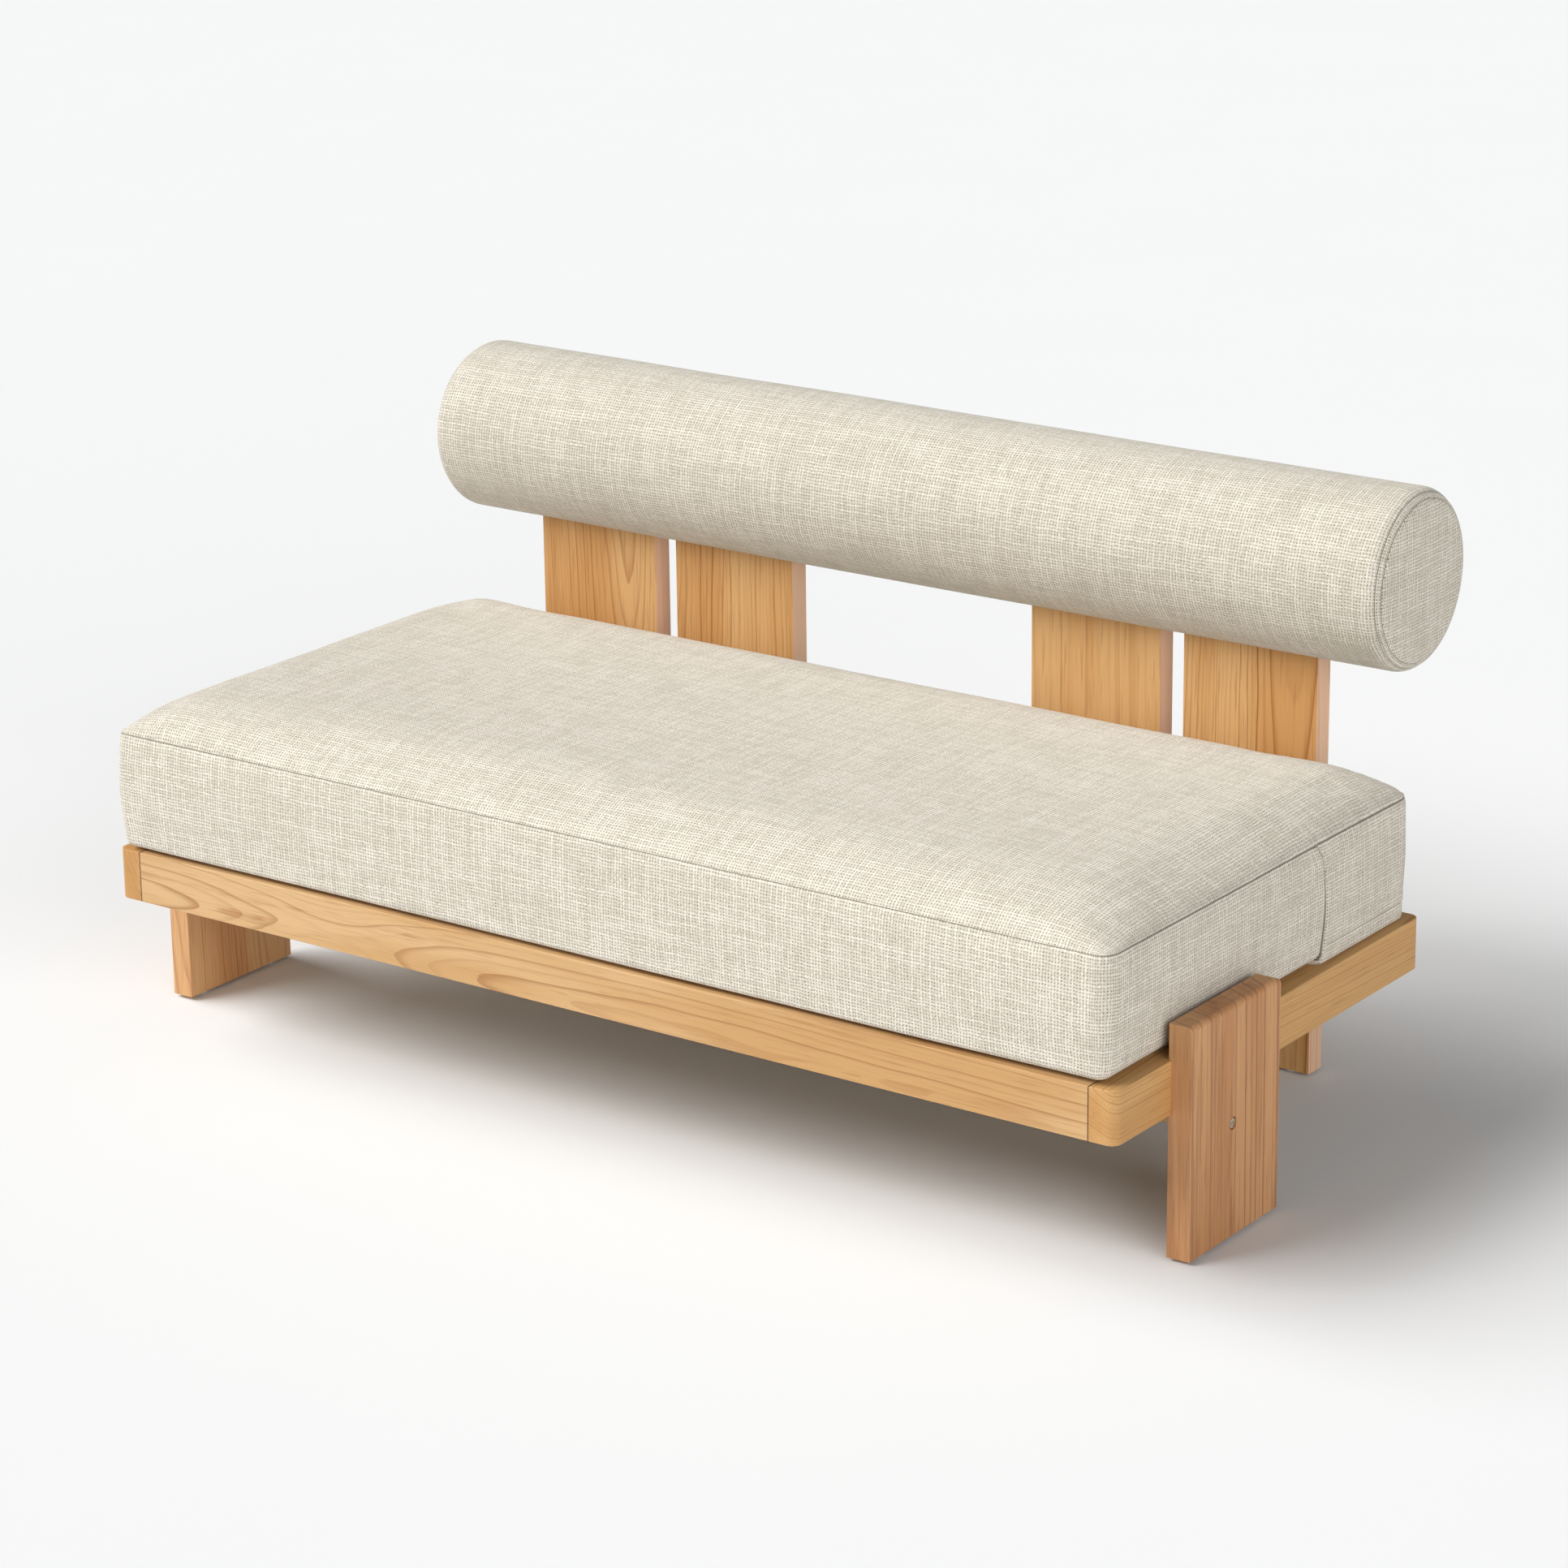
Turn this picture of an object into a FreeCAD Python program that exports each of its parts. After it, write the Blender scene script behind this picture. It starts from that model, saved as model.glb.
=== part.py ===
import FreeCAD, Part
import math
import os
import re

import Sketcher
from FreeCAD import Placement, Rotation, Vector

# Slatted timber daybed with a loose seat cushion and a round bolster on four wide back posts.
# Millimetres, +X along the length to the sitter's left, +Y to the back, +Z up.
# The origin is on the floor, at the middle of the overall length and depth.

SIZES = {
    # frame
    "frame_length": (1600, "over the end rails"),
    "frame_depth": (743, "front rail's front face to rear rail's back face"),
    "rail_height": (70.5, ""),
    "rail_thickness": (38, "all four rails"),
    "rail_bottom": (191.5, "above the floor"),
    "corner_radius": (14, "outer vertical corners of the end rails"),
    "edge_ease": (1.2, "small rounding on board edges"),
    # front legs
    "leg_thickness": (33, ""),
    "leg_width": (210, "along the depth"),
    "leg_height": (305, ""),
    "leg_setback": (125, "front rail's face to the leg's front edge"),
    "leg_housing": (4, "depth the leg is let into the end rail"),
    "leg_rounding": (8, "top outer and top back edges"),
    # stretcher between the front legs
    "stretcher_thickness": (33, ""),
    "stretcher_height": (50, ""),
    "leg_bolt_rise": (13, "leg bolt above the stretcher's underside"),
    # back posts
    "post_thickness": (33, ""),
    "post_width": (203, ""),
    "post_gap": (36, "between the two posts of a pair"),
    "post_inset": (160, "frame end to the outer post"),
    "post_top": (690, "above the floor"),
    # seat
    "slat_width": (70, ""),
    "slat_thickness": (18, ""),
    "slat_play": (1, "gap at each slat end"),
    "ledger_thickness": (25, ""),
    "ledger_height": (30, ""),
    "ledger_inset": (40, "end rail to ledger end"),
    "bracket_side": (35, ""),
    "bracket_height": (30, ""),
    "bracket_plate": (2.5, ""),
    # hardware
    "glide_height": (5, ""),
    "glide_radius": (10, ""),
    "glide_nail_radius": (1.5, ""),
    "glide_nail_length": (16, ""),
    "bolt_radius": (4, "leg and post bolts"),
    "bolt_head_radius": (6.5, ""),
    "bolt_head_height": (3.5, ""),
    "bolt_sink": (1.2, "head below the wood's face"),
    "counterbore_radius": (8.5, ""),
    "drive_hole_radius": (1.1, ""),
    "drive_hole_offset": (2.6, "drive hole from the bolt's axis"),
    "leg_bolt_grip": (42, "leg bolt inside the stretcher"),
    "barrel_nut_radius": (7, ""),
    "barrel_nut_length": (24, ""),
    "barrel_nut_depth": (30, "leg's inner face to the barrel nut's axis"),
    "post_bolt_spacing": (120, "the two bolts of one post"),
    "insert_radius": (6, ""),
    "insert_length": (20, ""),
    "screw_radius": (2, ""),
    "screw_head_radius": (4.2, ""),
    "screw_head_height": (2.6, ""),
    "dowel_radius": (5, ""),
    "dowel_length": (60, ""),
    "dowel_in_end_rail": (22, ""),
    "peg_radius": (6, ""),
    "peg_in_post": (40, ""),
    "peg_rise": (30, "above the post's top"),
    "peg_play": (0.4, "radial, in the bolster's spine"),
    "hole_slack": (0.12, "radial, round every fastener in wood"),
    # seat cushion
    "cushion_length": (1576, ""),
    "cushion_depth": (734.5, ""),
    "cushion_front": (0.5, "behind the front rail's face"),
    "cushion_seam": (166, "top seam above the cushion's underside"),
    "cushion_crown": (45, "crown above the top seam"),
    "cushion_crown_run": (107, "inward run of the rounded crown"),
    "cushion_foot_round": (16, "lower edge rounding"),
    "cushion_draw_in": (4, "sides pulled in low down"),
    "cushion_corner": (25, "vertical corner radius at the seam"),
    "cushion_zip_rise": (25, "zip above the cushion's underside"),
    "cushion_zip_length": (1440, ""),
    "cover_thickness": (2, "fabric with its lining"),
    "foam_gap": (0.2, "between cover and foam"),
    # bolster
    "bolster_radius": (120.5, ""),
    "bolster_length": (1545, ""),
    "bolster_edge_radius": (24, ""),
    "bolster_axis_y": (778.5, "behind the front rail's face"),
    "bolster_axis_z": (699.5, "above the floor"),
    "pocket_play": (2, "round each post in foam and cover"),
    "spine_length": (1440, ""),
    "spine_thickness": (40, ""),
    "spine_height": (60, ""),
    "bolster_zip_length": (1340, ""),
    "bolster_zip_angle": (60, "below the horizontal, at the back"),
    # zips, the same on cushion and bolster
    "tape_width": (12, "visible between the fabric's edges"),
    "tape_sink": (0.3, "below the fabric's face"),
    "tape_thickness": (1.6, ""),
    "chain_width": (5, "teeth"),
    "chain_rise": (0.9, "teeth above the fabric's face"),
    "slider_length": (11, ""),
    "slider_width": (9, ""),
    "slider_top": (3, "above the fabric's face"),
    "slider_play": (0.2, "round the teeth"),
    "slider_clear": (0.1, "above the fabric's face"),
    "lug_length": (3.6, ""),
    "lug_thickness": (1.2, ""),
    "lug_rise": (3.3, "above the slider's top"),
    "pin_radius": (0.8, ""),
    "pin_rise": (1.9, "pin's axis above the slider's top"),
    "eye_radius": (1.7, ""),
    "eye_play": (0.25, "radial, round the pin"),
    "eye_side_play": (0.2, "between eye and lug"),
    "tab_length": (24, ""),
    "tab_thickness": (1.2, ""),
}
SLAT_COUNT = 12
LEDGER_SCREW_COUNT = 6
ZIP_END = 20  # the slider's rest place, from the zip's end
SIDES = {"left": -1, "right": 1}
ENDS = {"front": 1, "rear": -1}
RAIL_FACES = {"front": "front_y + rail_thickness", "rear": "back_y - rail_thickness"}

# Places and lengths worked out from the sizes; each may use the ones above it.
DERIVED = {
    "front_y": "-(bolster_axis_y + bolster_radius) / 2",
    "back_y": "(front_y + frame_depth)",
    "inner_length": "(frame_length - 2 * rail_thickness)",
    "rail_top": "(rail_bottom + rail_height)",
    "rail_middle": "(rail_bottom + rail_height / 2)",
    "leg_front_y": "(front_y + leg_setback)",
    "leg_inner_x": "(frame_length / 2 - leg_housing)",
    "leg_outer_x": "(leg_inner_x + leg_thickness)",
    "leg_middle_y": "(leg_front_y + leg_width / 2)",
    "stretcher_y": "(leg_front_y + (leg_width - stretcher_thickness) / 2 - 6)",
    "stretcher_middle_y": "(stretcher_y + stretcher_thickness / 2)",
    "stretcher_bottom": "(rail_bottom - stretcher_height)",
    "leg_bolt_z": "(stretcher_bottom + leg_bolt_rise)",
    "post_back_y": "(back_y + post_thickness)",
    "post_middle_y": "(back_y + post_thickness / 2)",
    "slat_bottom": "(rail_top - slat_thickness)",
    "slat_length": "(frame_depth - 2 * rail_thickness - 2 * slat_play)",
    "slat_pitch": f"(inner_length / {SLAT_COUNT})",
    "ledger_bottom": "(slat_bottom - ledger_height)",
    "ledger_length": "(inner_length - 2 * ledger_inset)",
    "axis_y": "(front_y + bolster_axis_y)",
    "cushion_face_y": "(front_y + cushion_front + cushion_depth - cushion_draw_in)",
    "cushion_zip_z": "(rail_top + cushion_zip_rise)",
}

doc = FreeCAD.newDocument("daybed")
sheet = doc.addObject("Spreadsheet::Sheet", "sizes")
for row, (alias, (amount, note)) in enumerate(SIZES.items(), start=1):
    sheet.set(f"A{row}", alias)
    sheet.set(f"B{row}", str(amount))
    sheet.set(f"C{row}", note)
    sheet.setAlias(f"B{row}", alias)
doc.recompute()

subparts = []


def in_sheet(text):
    """An expression on the spreadsheet: names of sizes and of derived places filled in."""

    def fill(match):
        word = match.group()
        if word in SIZES:
            return "sizes." + word
        return in_sheet(DERIVED[word]) if word in DERIVED else word

    return re.sub(r"[a-z_]+", fill, str(text))


def number(text):
    """The expression's value now, in millimetres."""
    return float(sheet.evalExpression(in_sheet(text)))


def bind(item, **expressions):
    for key, text in expressions.items():
        item.setExpression(key, in_sheet(text))


def put(item, place, rotation=None):
    """Puts an object at a place given as three expressions, turned by a rotation."""
    item.Placement = Placement(Vector(), rotation or Rotation())
    for axis, text in zip("xyz", place):
        item.setExpression("Placement.Base." + axis, in_sheet(text))
    return item


def keep(item, label):
    """Marks an object as a finished sub-part."""
    item.Label = label
    subparts.append(item)
    return item


def make(kind, name, **expressions):
    item = doc.addObject(kind, name)
    bind(item, **expressions)
    return item


def box(name, size, place):
    """A block with its low corner at the place."""
    length, width, height = size
    return put(make("Part::Box", name, Length=length, Width=width, Height=height), place)


def rod(name, radius, length, start, direction):
    """A cylinder from the start along a direction."""
    item = make("Part::Cylinder", name, Radius=radius, Height=length)
    return put(item, start, Rotation(Vector(0, 0, 1), Vector(*direction)))


def joined(name, items, kind="Part::MultiFuse"):
    item = doc.addObject(kind, name)
    if kind == "Part::MultiFuse":
        item.Shapes = items
    else:
        item.Links = items
    return item


def group(label, items):
    """Several equal solids in one sub-part."""
    return keep(joined(label, items, "Part::Compound"), label)


def cut(name, base, tools):
    item = doc.addObject("Part::Cut", name)
    item.Base = base
    item.Tool = tools[0] if len(tools) == 1 else joined(name + "_tools", tools)
    return item


def sketch_on_base(body):
    sketch = body.newObject("Sketcher::SketchObject", body.Name + "_outline")
    plane = next(f for f in body.Origin.OriginFeatures if f.Role == "XY_Plane")
    sketch.AttachmentSupport = [(plane, "")]
    sketch.MapMode = "FlatFace"
    return sketch


def name_constraint(sketch, constraint, name, text):
    index = sketch.addConstraint(constraint)
    sketch.renameConstraint(index, name)
    sketch.setExpression("Constraints." + name, in_sheet(text))


def padded_body(name, sketch_maker, height):
    body = doc.addObject("PartDesign::Body", name)
    sketch = sketch_on_base(body)
    sketch_maker(sketch)
    pad = body.newObject("PartDesign::Pad", name + "_pad")
    pad.Profile = sketch
    bind(pad, Length=height)
    body.Tip = pad
    sketch.Visibility = False
    return body


def rectangle(length, width):
    """Draws a rectangle from the sketch's origin along +X and +Y."""

    def draw(sketch):
        far_x, far_y = number(length), number(width)
        corners = [Vector(0, 0), Vector(far_x, 0), Vector(far_x, far_y), Vector(0, far_y)]
        for i in range(4):
            sketch.addGeometry(Part.LineSegment(corners[i], corners[(i + 1) % 4]))
        for i in range(4):
            sketch.addConstraint(Sketcher.Constraint("Coincident", i, 2, (i + 1) % 4, 1))
            sketch.addConstraint(Sketcher.Constraint(("Horizontal", "Vertical")[i % 2], i))
        sketch.addConstraint(Sketcher.Constraint("Coincident", 0, 1, -1, 1))
        along = Sketcher.Constraint("DistanceX", 0, 1, 0, 2, far_x)
        name_constraint(sketch, along, "length", length)
        across = Sketcher.Constraint("DistanceY", 1, 1, 1, 2, far_y)
        name_constraint(sketch, across, "width", width)

    return draw


def circle(radius):
    """Draws a circle round the sketch's origin."""

    def draw(sketch):
        sketch.addGeometry(Part.Circle(Vector(), Vector(0, 0, 1), number(radius)))
        sketch.addConstraint(Sketcher.Constraint("Coincident", 0, 3, -1, 1))
        size = Sketcher.Constraint("Radius", 0, number(radius))
        name_constraint(sketch, size, "radius", radius)

    return draw


def rounded(body, radius, wanted):
    """Rounds the edges that wanted() picks; it gets each edge's middle, from 0 to 1 in the body's box."""
    doc.recompute()
    tip = body.Tip
    bounds = tip.Shape.BoundBox
    low = Vector(bounds.XMin, bounds.YMin, bounds.ZMin)
    size = Vector(bounds.XLength, bounds.YLength, bounds.ZLength)
    names = []
    for i, edge in enumerate(tip.Shape.Edges, start=1):
        middle = edge.CenterOfMass - low
        share = [round(middle[k] / size[k], 2) for k in range(3)]
        if wanted(*share, edge):
            names.append(f"Edge{i}")
    fillet = body.newObject("PartDesign::Fillet", body.Name + "_rounding")
    fillet.Base = (tip, names)
    bind(fillet, Radius=radius)
    body.Tip = fillet
    return body


def board(name, size, place, eased="edge_ease"):
    """A board with its low corner at the place; the edges along its longest side are eased."""
    length, width, height = size
    body = padded_body(name, rectangle(length, width), height)
    longest = max(range(3), key=lambda k: number(size[k]))

    def is_long(x, y, z, edge):
        return (x, y, z)[longest] == 0.5

    if eased:
        rounded(body, eased, is_long)
    return put(body, place)


def slacked(radius, slack):
    return f"{radius} + hole_slack" if slack else radius


def screw(name, head_at, direction, length, slack=False):
    """A countersunk wood screw with its head's top at a place, or with slack the hole for it."""
    head = make(
        "Part::Cone",
        name + "_head",
        Radius1=slacked("screw_head_radius", slack),
        Radius2=slacked("screw_radius", slack),
        Height="screw_head_height",
    )
    put(head, head_at, Rotation(Vector(0, 0, 1), Vector(*direction)))
    radius = slacked("screw_radius", slack)
    reach = f"{length} + 1" if slack else length
    return joined(name, [head, rod(name + "_shank", radius, reach, head_at, direction)])


def screw_set(label, spots):
    """A group of screws, and the holes for them, from (place, direction, length) for each."""
    group(label, [screw(f"{label}_{i}", *spot) for i, spot in enumerate(spots, start=1)])
    return [screw(f"{label}_hole_{i}", *spot, slack=True) for i, spot in enumerate(spots, start=1)]


def pin_set(label, radius, spots):
    """A group of plain pins, and the holes for them, from (start, direction, length) for each."""
    pins, holes = [], []
    for i, (start, direction, length) in enumerate(spots, start=1):
        pins.append(rod(f"{label}_{i}", radius, length, start, direction))
        holes.append(rod(f"{label}_hole_{i}", radius + " + hole_slack", length, start, direction))
    group(label, pins)
    return holes


def connector_bolt(name, head_at, direction, length):
    """A bolt whose round head has two drive holes; head_at is the head's outer face."""
    outward = Vector(*direction)
    head = rod(name + "_head", "bolt_head_radius", "bolt_head_height", head_at, direction)
    shank = rod(name + "_shank", "bolt_radius", length, head_at, direction)
    across = Vector(0, 1, 0) if abs(outward.x) else Vector(1, 0, 0)
    drives = []
    for sign in (-1, 1):
        place = [
            f"{text} + {sign * across[k]} * drive_hole_offset" for k, text in enumerate(head_at)
        ]
        drives.append(
            rod(f"{name}_drive_{sign + 1}", "drive_hole_radius", 2.2, place, direction)
        )
    return cut(name, joined(name + "_blank", [head, shank]), drives)


def bolt_hole(name, mouth, direction, depth):
    """A counterbore for the bolt's head and a hole for its shank, from the wood's face."""
    bore_depth = "bolt_sink + bolt_head_height"
    bore = rod(name + "_bore", "counterbore_radius", bore_depth, mouth, direction)
    hole = rod(name + "_hole", "bolt_radius + hole_slack", depth, mouth, direction)
    return joined(name, [bore, hole])


# ---- fasteners, and the holes that they need ----

rail_middles = {"front": "front_y + rail_thickness / 2", "rear": "back_y - rail_thickness / 2"}
dowel_spots = []
for side, sign in SIDES.items():
    for end in ENDS:
        for level in (-1, 1):
            start = (
                f"{sign} * (inner_length / 2 + dowel_in_end_rail)",
                rail_middles[end],
                f"rail_middle + {level} * rail_height / 4",
            )
            dowel_spots.append((start, (-sign, 0, 0), "dowel_length"))
dowel_holes = pin_set("rail_dowels", "dowel_radius", dowel_spots)

stretcher_dowel_spots = [
    (
        (
            f"{sign} * (leg_inner_x + dowel_in_end_rail)",
            "stretcher_middle_y",
            "leg_bolt_z + stretcher_height / 2",
        ),
        (-sign, 0, 0),
        "dowel_length",
    )
    for sign in SIDES.values()
]
stretcher_dowel_holes = pin_set("stretcher_dowels", "dowel_radius", stretcher_dowel_spots)

leg_screw_spots = [
    (
        (
            f"{sign} * inner_length / 2",
            f"leg_middle_y + {along} * leg_width / 3",
            "rail_middle",
        ),
        (sign, 0, 0),
        55,
    )
    for sign in SIDES.values()
    for along in (-1, 1)
]
leg_screw_holes = screw_set("leg_screws", leg_screw_spots)

ledger_faces = {
    "front": "front_y + rail_thickness + ledger_thickness",
    "rear": "back_y - rail_thickness - ledger_thickness",
}
ledger_screw_spots = [
    (
        (
            f"({i} - {(LEDGER_SCREW_COUNT - 1) / 2}) * 2 * slat_pitch",
            ledger_faces[end],
            "ledger_bottom + ledger_height / 2",
        ),
        (0, -toward, 0),
        50,
    )
    for end, toward in ENDS.items()
    for i in range(LEDGER_SCREW_COUNT)
]
ledger_screw_holes = screw_set("ledger_screws", ledger_screw_spots)

slat_middles = [f"({i} - {(SLAT_COUNT - 1) / 2}) * slat_pitch" for i in range(SLAT_COUNT)]
ledger_middles = {
    "front": "front_y + rail_thickness + ledger_thickness / 2",
    "rear": "back_y - rail_thickness - ledger_thickness / 2",
}
slat_screw_spots = [
    ((middle, ledger_middles[end], "rail_top"), (0, 0, -1), 38)
    for middle in slat_middles
    for end in ENDS
]
slat_screw_holes = screw_set("slat_screws", slat_screw_spots)

bracket_screw_spots = []
for sign in SIDES.values():
    for end, toward in ENDS.items():
        level = "ledger_bottom + bracket_height / 2"
        rail_face = RAIL_FACES[end]
        on_rail = (
            f"{sign} * (inner_length / 2 - bracket_side * 0.68)",
            f"{rail_face} + {toward} * bracket_plate",
            level,
        )
        on_end = (
            f"{sign} * (inner_length / 2 - bracket_plate)",
            f"{rail_face} + {toward} * bracket_side * 0.68",
            level,
        )
        bracket_screw_spots.append((on_rail, (0, -toward, 0), 28))
        bracket_screw_spots.append((on_end, (sign, 0, 0), 28))
bracket_screw_holes = screw_set("bracket_screws", bracket_screw_spots)

leg_bolts, leg_bolt_holes, barrel_nuts, barrel_nut_holes = [], [], [], []
for side, sign in SIDES.items():
    inward = (-sign, 0, 0)
    face = (f"{sign} * leg_outer_x", "stretcher_middle_y", "leg_bolt_z")
    head = (f"{sign} * (leg_outer_x - bolt_sink)", "stretcher_middle_y", "leg_bolt_z")
    length = "leg_thickness - bolt_sink + leg_bolt_grip"
    leg_bolts.append(connector_bolt(f"leg_bolt_{side}", head, inward, length))
    leg_bolt_holes.append(bolt_hole(f"leg_bolt_hole_{side}", face, inward, length + " + 3"))
    nut_foot = (
        f"{sign} * (leg_inner_x - barrel_nut_depth)",
        "stretcher_middle_y",
        "stretcher_bottom + 1",
    )
    nut = rod(f"barrel_nut_{side}", "barrel_nut_radius", "barrel_nut_length", nut_foot, (0, 0, 1))
    shank = rod(f"barrel_thread_{side}", "bolt_radius + hole_slack", length, head, inward)
    barrel_nuts.append(cut(f"barrel_nut_{side}_threaded", nut, [shank]))
    below = (nut_foot[0], nut_foot[1], "stretcher_bottom - 1")
    barrel_nut_holes.append(
        rod(
            f"barrel_hole_{side}",
            "barrel_nut_radius + hole_slack",
            "barrel_nut_length + 3",
            below,
            (0, 0, 1),
        )
    )
group("leg_bolts", leg_bolts)
group("leg_barrel_nuts", barrel_nuts)

post_lows = {}
for number_of_post, (sign, steps) in enumerate(((-1, 0), (-1, 1), (1, 1), (1, 0)), start=1):
    outer = f"(frame_length / 2 - post_inset - {steps} * (post_width + post_gap))"
    post_lows[number_of_post] = f"-{outer}" if sign < 0 else f"({outer} - post_width)"

post_bolts, post_bolt_holes, inserts, insert_holes = [], [], [], []
for post, low in post_lows.items():
    for along in (-1, 1):
        tag = f"{post}_{'a' if along < 0 else 'b'}"
        x = f"({low} + post_width / 2 + {along} * post_bolt_spacing / 2)"
        forward = (0, -1, 0)
        length = "post_thickness - bolt_sink + insert_length + 4"
        head = (x, "post_back_y - bolt_sink", "rail_middle")
        post_bolts.append(connector_bolt(f"post_bolt_{tag}", head, forward, length))
        face = (x, "post_back_y", "rail_middle")
        post_bolt_holes.append(bolt_hole(f"post_bolt_hole_{tag}", face, forward, length + " + 3"))
        seat = (x, "back_y", "rail_middle")
        sleeve = rod(f"insert_{tag}", "insert_radius", "insert_length", seat, forward)
        thread = rod(f"insert_thread_{tag}", "bolt_radius + hole_slack", length, seat, forward)
        inserts.append(cut(f"insert_{tag}_threaded", sleeve, [thread]))
        insert_holes.append(
            rod(
                f"insert_hole_{tag}", "insert_radius + hole_slack", "insert_length", seat, forward
            )
        )
group("post_bolts", post_bolts)
group("post_inserts", inserts)

peg_spots = [
    (
        (
            f"({low} + post_width / 2 + {along} * post_bolt_spacing / 2)",
            "post_middle_y",
            "post_top - peg_in_post",
        ),
        (0, 0, 1),
        "peg_in_post + peg_rise",
    )
    for low in post_lows.values()
    for along in (-1, 1)
]
peg_holes = pin_set("bolster_pegs", "peg_radius", peg_spots)


def glides(label, spots):
    """Round glides, each on a nail driven up into the wood, and the nail holes."""
    items, holes = [], []
    for i, (x, y) in enumerate(spots, start=1):
        disc = rod(f"{label}_disc_{i}", "glide_radius", "glide_height", (x, y, 0), (0, 0, 1))
        rounded_disc = doc.addObject("Part::Fillet", f"{label}_round_{i}")
        doc.recompute()
        rounded_disc.Base = disc
        rounded_disc.Edges = [
            (k, 1.5, 1.5)
            for k, edge in enumerate(disc.Shape.Edges, start=1)
            if edge.CenterOfMass.z < 1 and edge.Closed
        ]
        reach = "glide_height + glide_nail_length"
        nail = rod(f"{label}_nail_{i}", "glide_nail_radius", reach, (x, y, 0), (0, 0, 1))
        items.append(joined(f"{label}_{i}", [rounded_disc, nail]))
        holes.append(
            rod(
                f"{label}_hole_{i}",
                "glide_nail_radius + hole_slack",
                reach + " + 1",
                (x, y, 0),
                (0, 0, 1),
            )
        )
    group(label, items)
    return holes


front_glide_spots = [
    (f"{sign} * (leg_inner_x + leg_thickness / 2)", f"leg_middle_y + {along} * leg_width / 3")
    for sign in SIDES.values()
    for along in (-1, 1)
]
rear_glide_spots = [
    (f"({low} + post_width / 2 + {along} * post_width / 3)", "post_middle_y")
    for low in post_lows.values()
    for along in (-1, 1)
]
front_glide_holes = glides("front_glides", front_glide_spots)
rear_glide_holes = glides("rear_glides", rear_glide_spots)

# ---- frame boards ----


def drilled(label, base, holes):
    return keep(cut(label, base, holes), label)


for side, sign in SIDES.items():
    low_x = "inner_length / 2" if sign > 0 else "-frame_length / 2"
    body = padded_body(
        f"end_rail_{side}_blank", rectangle("rail_thickness", "frame_depth"), "rail_height"
    )
    outer = 1 if sign > 0 else 0
    rounded(body, "corner_radius", lambda x, y, z, edge: x == outer and z == 0.5)
    rounded(body, "edge_ease", lambda x, y, z, edge: z in (0, 1))
    put(body, (low_x, "front_y", "rail_bottom"))
    housing_low = "leg_inner_x" if sign > 0 else "-(leg_inner_x + leg_thickness)"
    housing = box(
        f"housing_{side}",
        ("leg_thickness", "leg_width", "rail_height + 2"),
        (housing_low, "leg_front_y", "rail_bottom - 1"),
    )
    first = 0 if sign < 0 else 2
    holes = dowel_holes[2 * first : 2 * first + 4] + leg_screw_holes[first : first + 2]
    holes += [bracket_screw_holes[2 * first + 1], bracket_screw_holes[2 * first + 3]]
    drilled(f"end_rail_{side}", body, [housing] + holes)

    leg_low = "leg_inner_x" if sign > 0 else "-leg_outer_x"
    leg = padded_body(
        f"front_leg_{side}_blank", rectangle("leg_thickness", "leg_width"), "leg_height"
    )
    rounded(
        leg,
        "leg_rounding",
        lambda x, y, z, edge: z == 1 and (x == outer or y == 1),
    )
    rounded(leg, "edge_ease", lambda x, y, z, edge: z < 0.6 and y in (0, 1) and x in (0, 1))
    put(leg, (leg_low, "leg_front_y", "glide_height"))
    side_index = 0 if sign < 0 else 1
    holes = [leg_bolt_holes[side_index], stretcher_dowel_holes[side_index]]
    holes += leg_screw_holes[first : first + 2] + front_glide_holes[first : first + 2]
    drilled(f"front_leg_{side}", leg, holes)

rail_size = ("inner_length", "rail_thickness", "rail_height")
front_rail = board(
    "front_rail_blank", rail_size, ("-inner_length / 2", "front_y", "rail_bottom")
)
rear_rail = board(
    "rear_rail_blank",
    rail_size,
    ("-inner_length / 2", "back_y - rail_thickness", "rail_bottom"),
)
front_dowels = dowel_holes[0:2] + dowel_holes[4:6]
rear_dowels = dowel_holes[2:4] + dowel_holes[6:8]
front_screws = ledger_screw_holes[:LEDGER_SCREW_COUNT]
rear_screws = ledger_screw_holes[LEDGER_SCREW_COUNT:]
drilled(
    "front_rail",
    front_rail,
    front_dowels + front_screws + [bracket_screw_holes[0], bracket_screw_holes[4]],
)
drilled(
    "rear_rail",
    rear_rail,
    rear_dowels
    + rear_screws
    + [bracket_screw_holes[2], bracket_screw_holes[6]]
    + insert_holes
    + post_bolt_holes,
)

stretcher = board(
    "front_stretcher_blank",
    ("2 * leg_inner_x", "stretcher_thickness", "stretcher_height"),
    ("-leg_inner_x", "stretcher_y", "stretcher_bottom"),
)
drilled(
    "front_stretcher", stretcher, stretcher_dowel_holes + leg_bolt_holes + barrel_nut_holes
)

for post, low in post_lows.items():
    blank = board(
        f"back_post_{post}_blank",
        ("post_width", "post_thickness", "post_top - glide_height"),
        (low, "back_y", "glide_height"),
    )
    pair = slice(2 * post - 2, 2 * post)
    holes = post_bolt_holes[pair] + peg_holes[pair] + rear_glide_holes[pair]
    drilled(f"back_post_{post}", blank, holes)

# ---- seat base ----

for end in ENDS:
    low_y = {
        "front": "front_y + rail_thickness",
        "rear": "back_y - rail_thickness - ledger_thickness",
    }[end]
    ledger = board(
        f"{end}_ledger_blank",
        ("ledger_length", "ledger_thickness", "ledger_height"),
        ("-ledger_length / 2", low_y, "ledger_bottom"),
    )
    own_slat_holes = slat_screw_holes[0::2] if end == "front" else slat_screw_holes[1::2]
    own_screws = front_screws if end == "front" else rear_screws
    drilled(f"{end}_ledger", ledger, own_slat_holes + own_screws)

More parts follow.
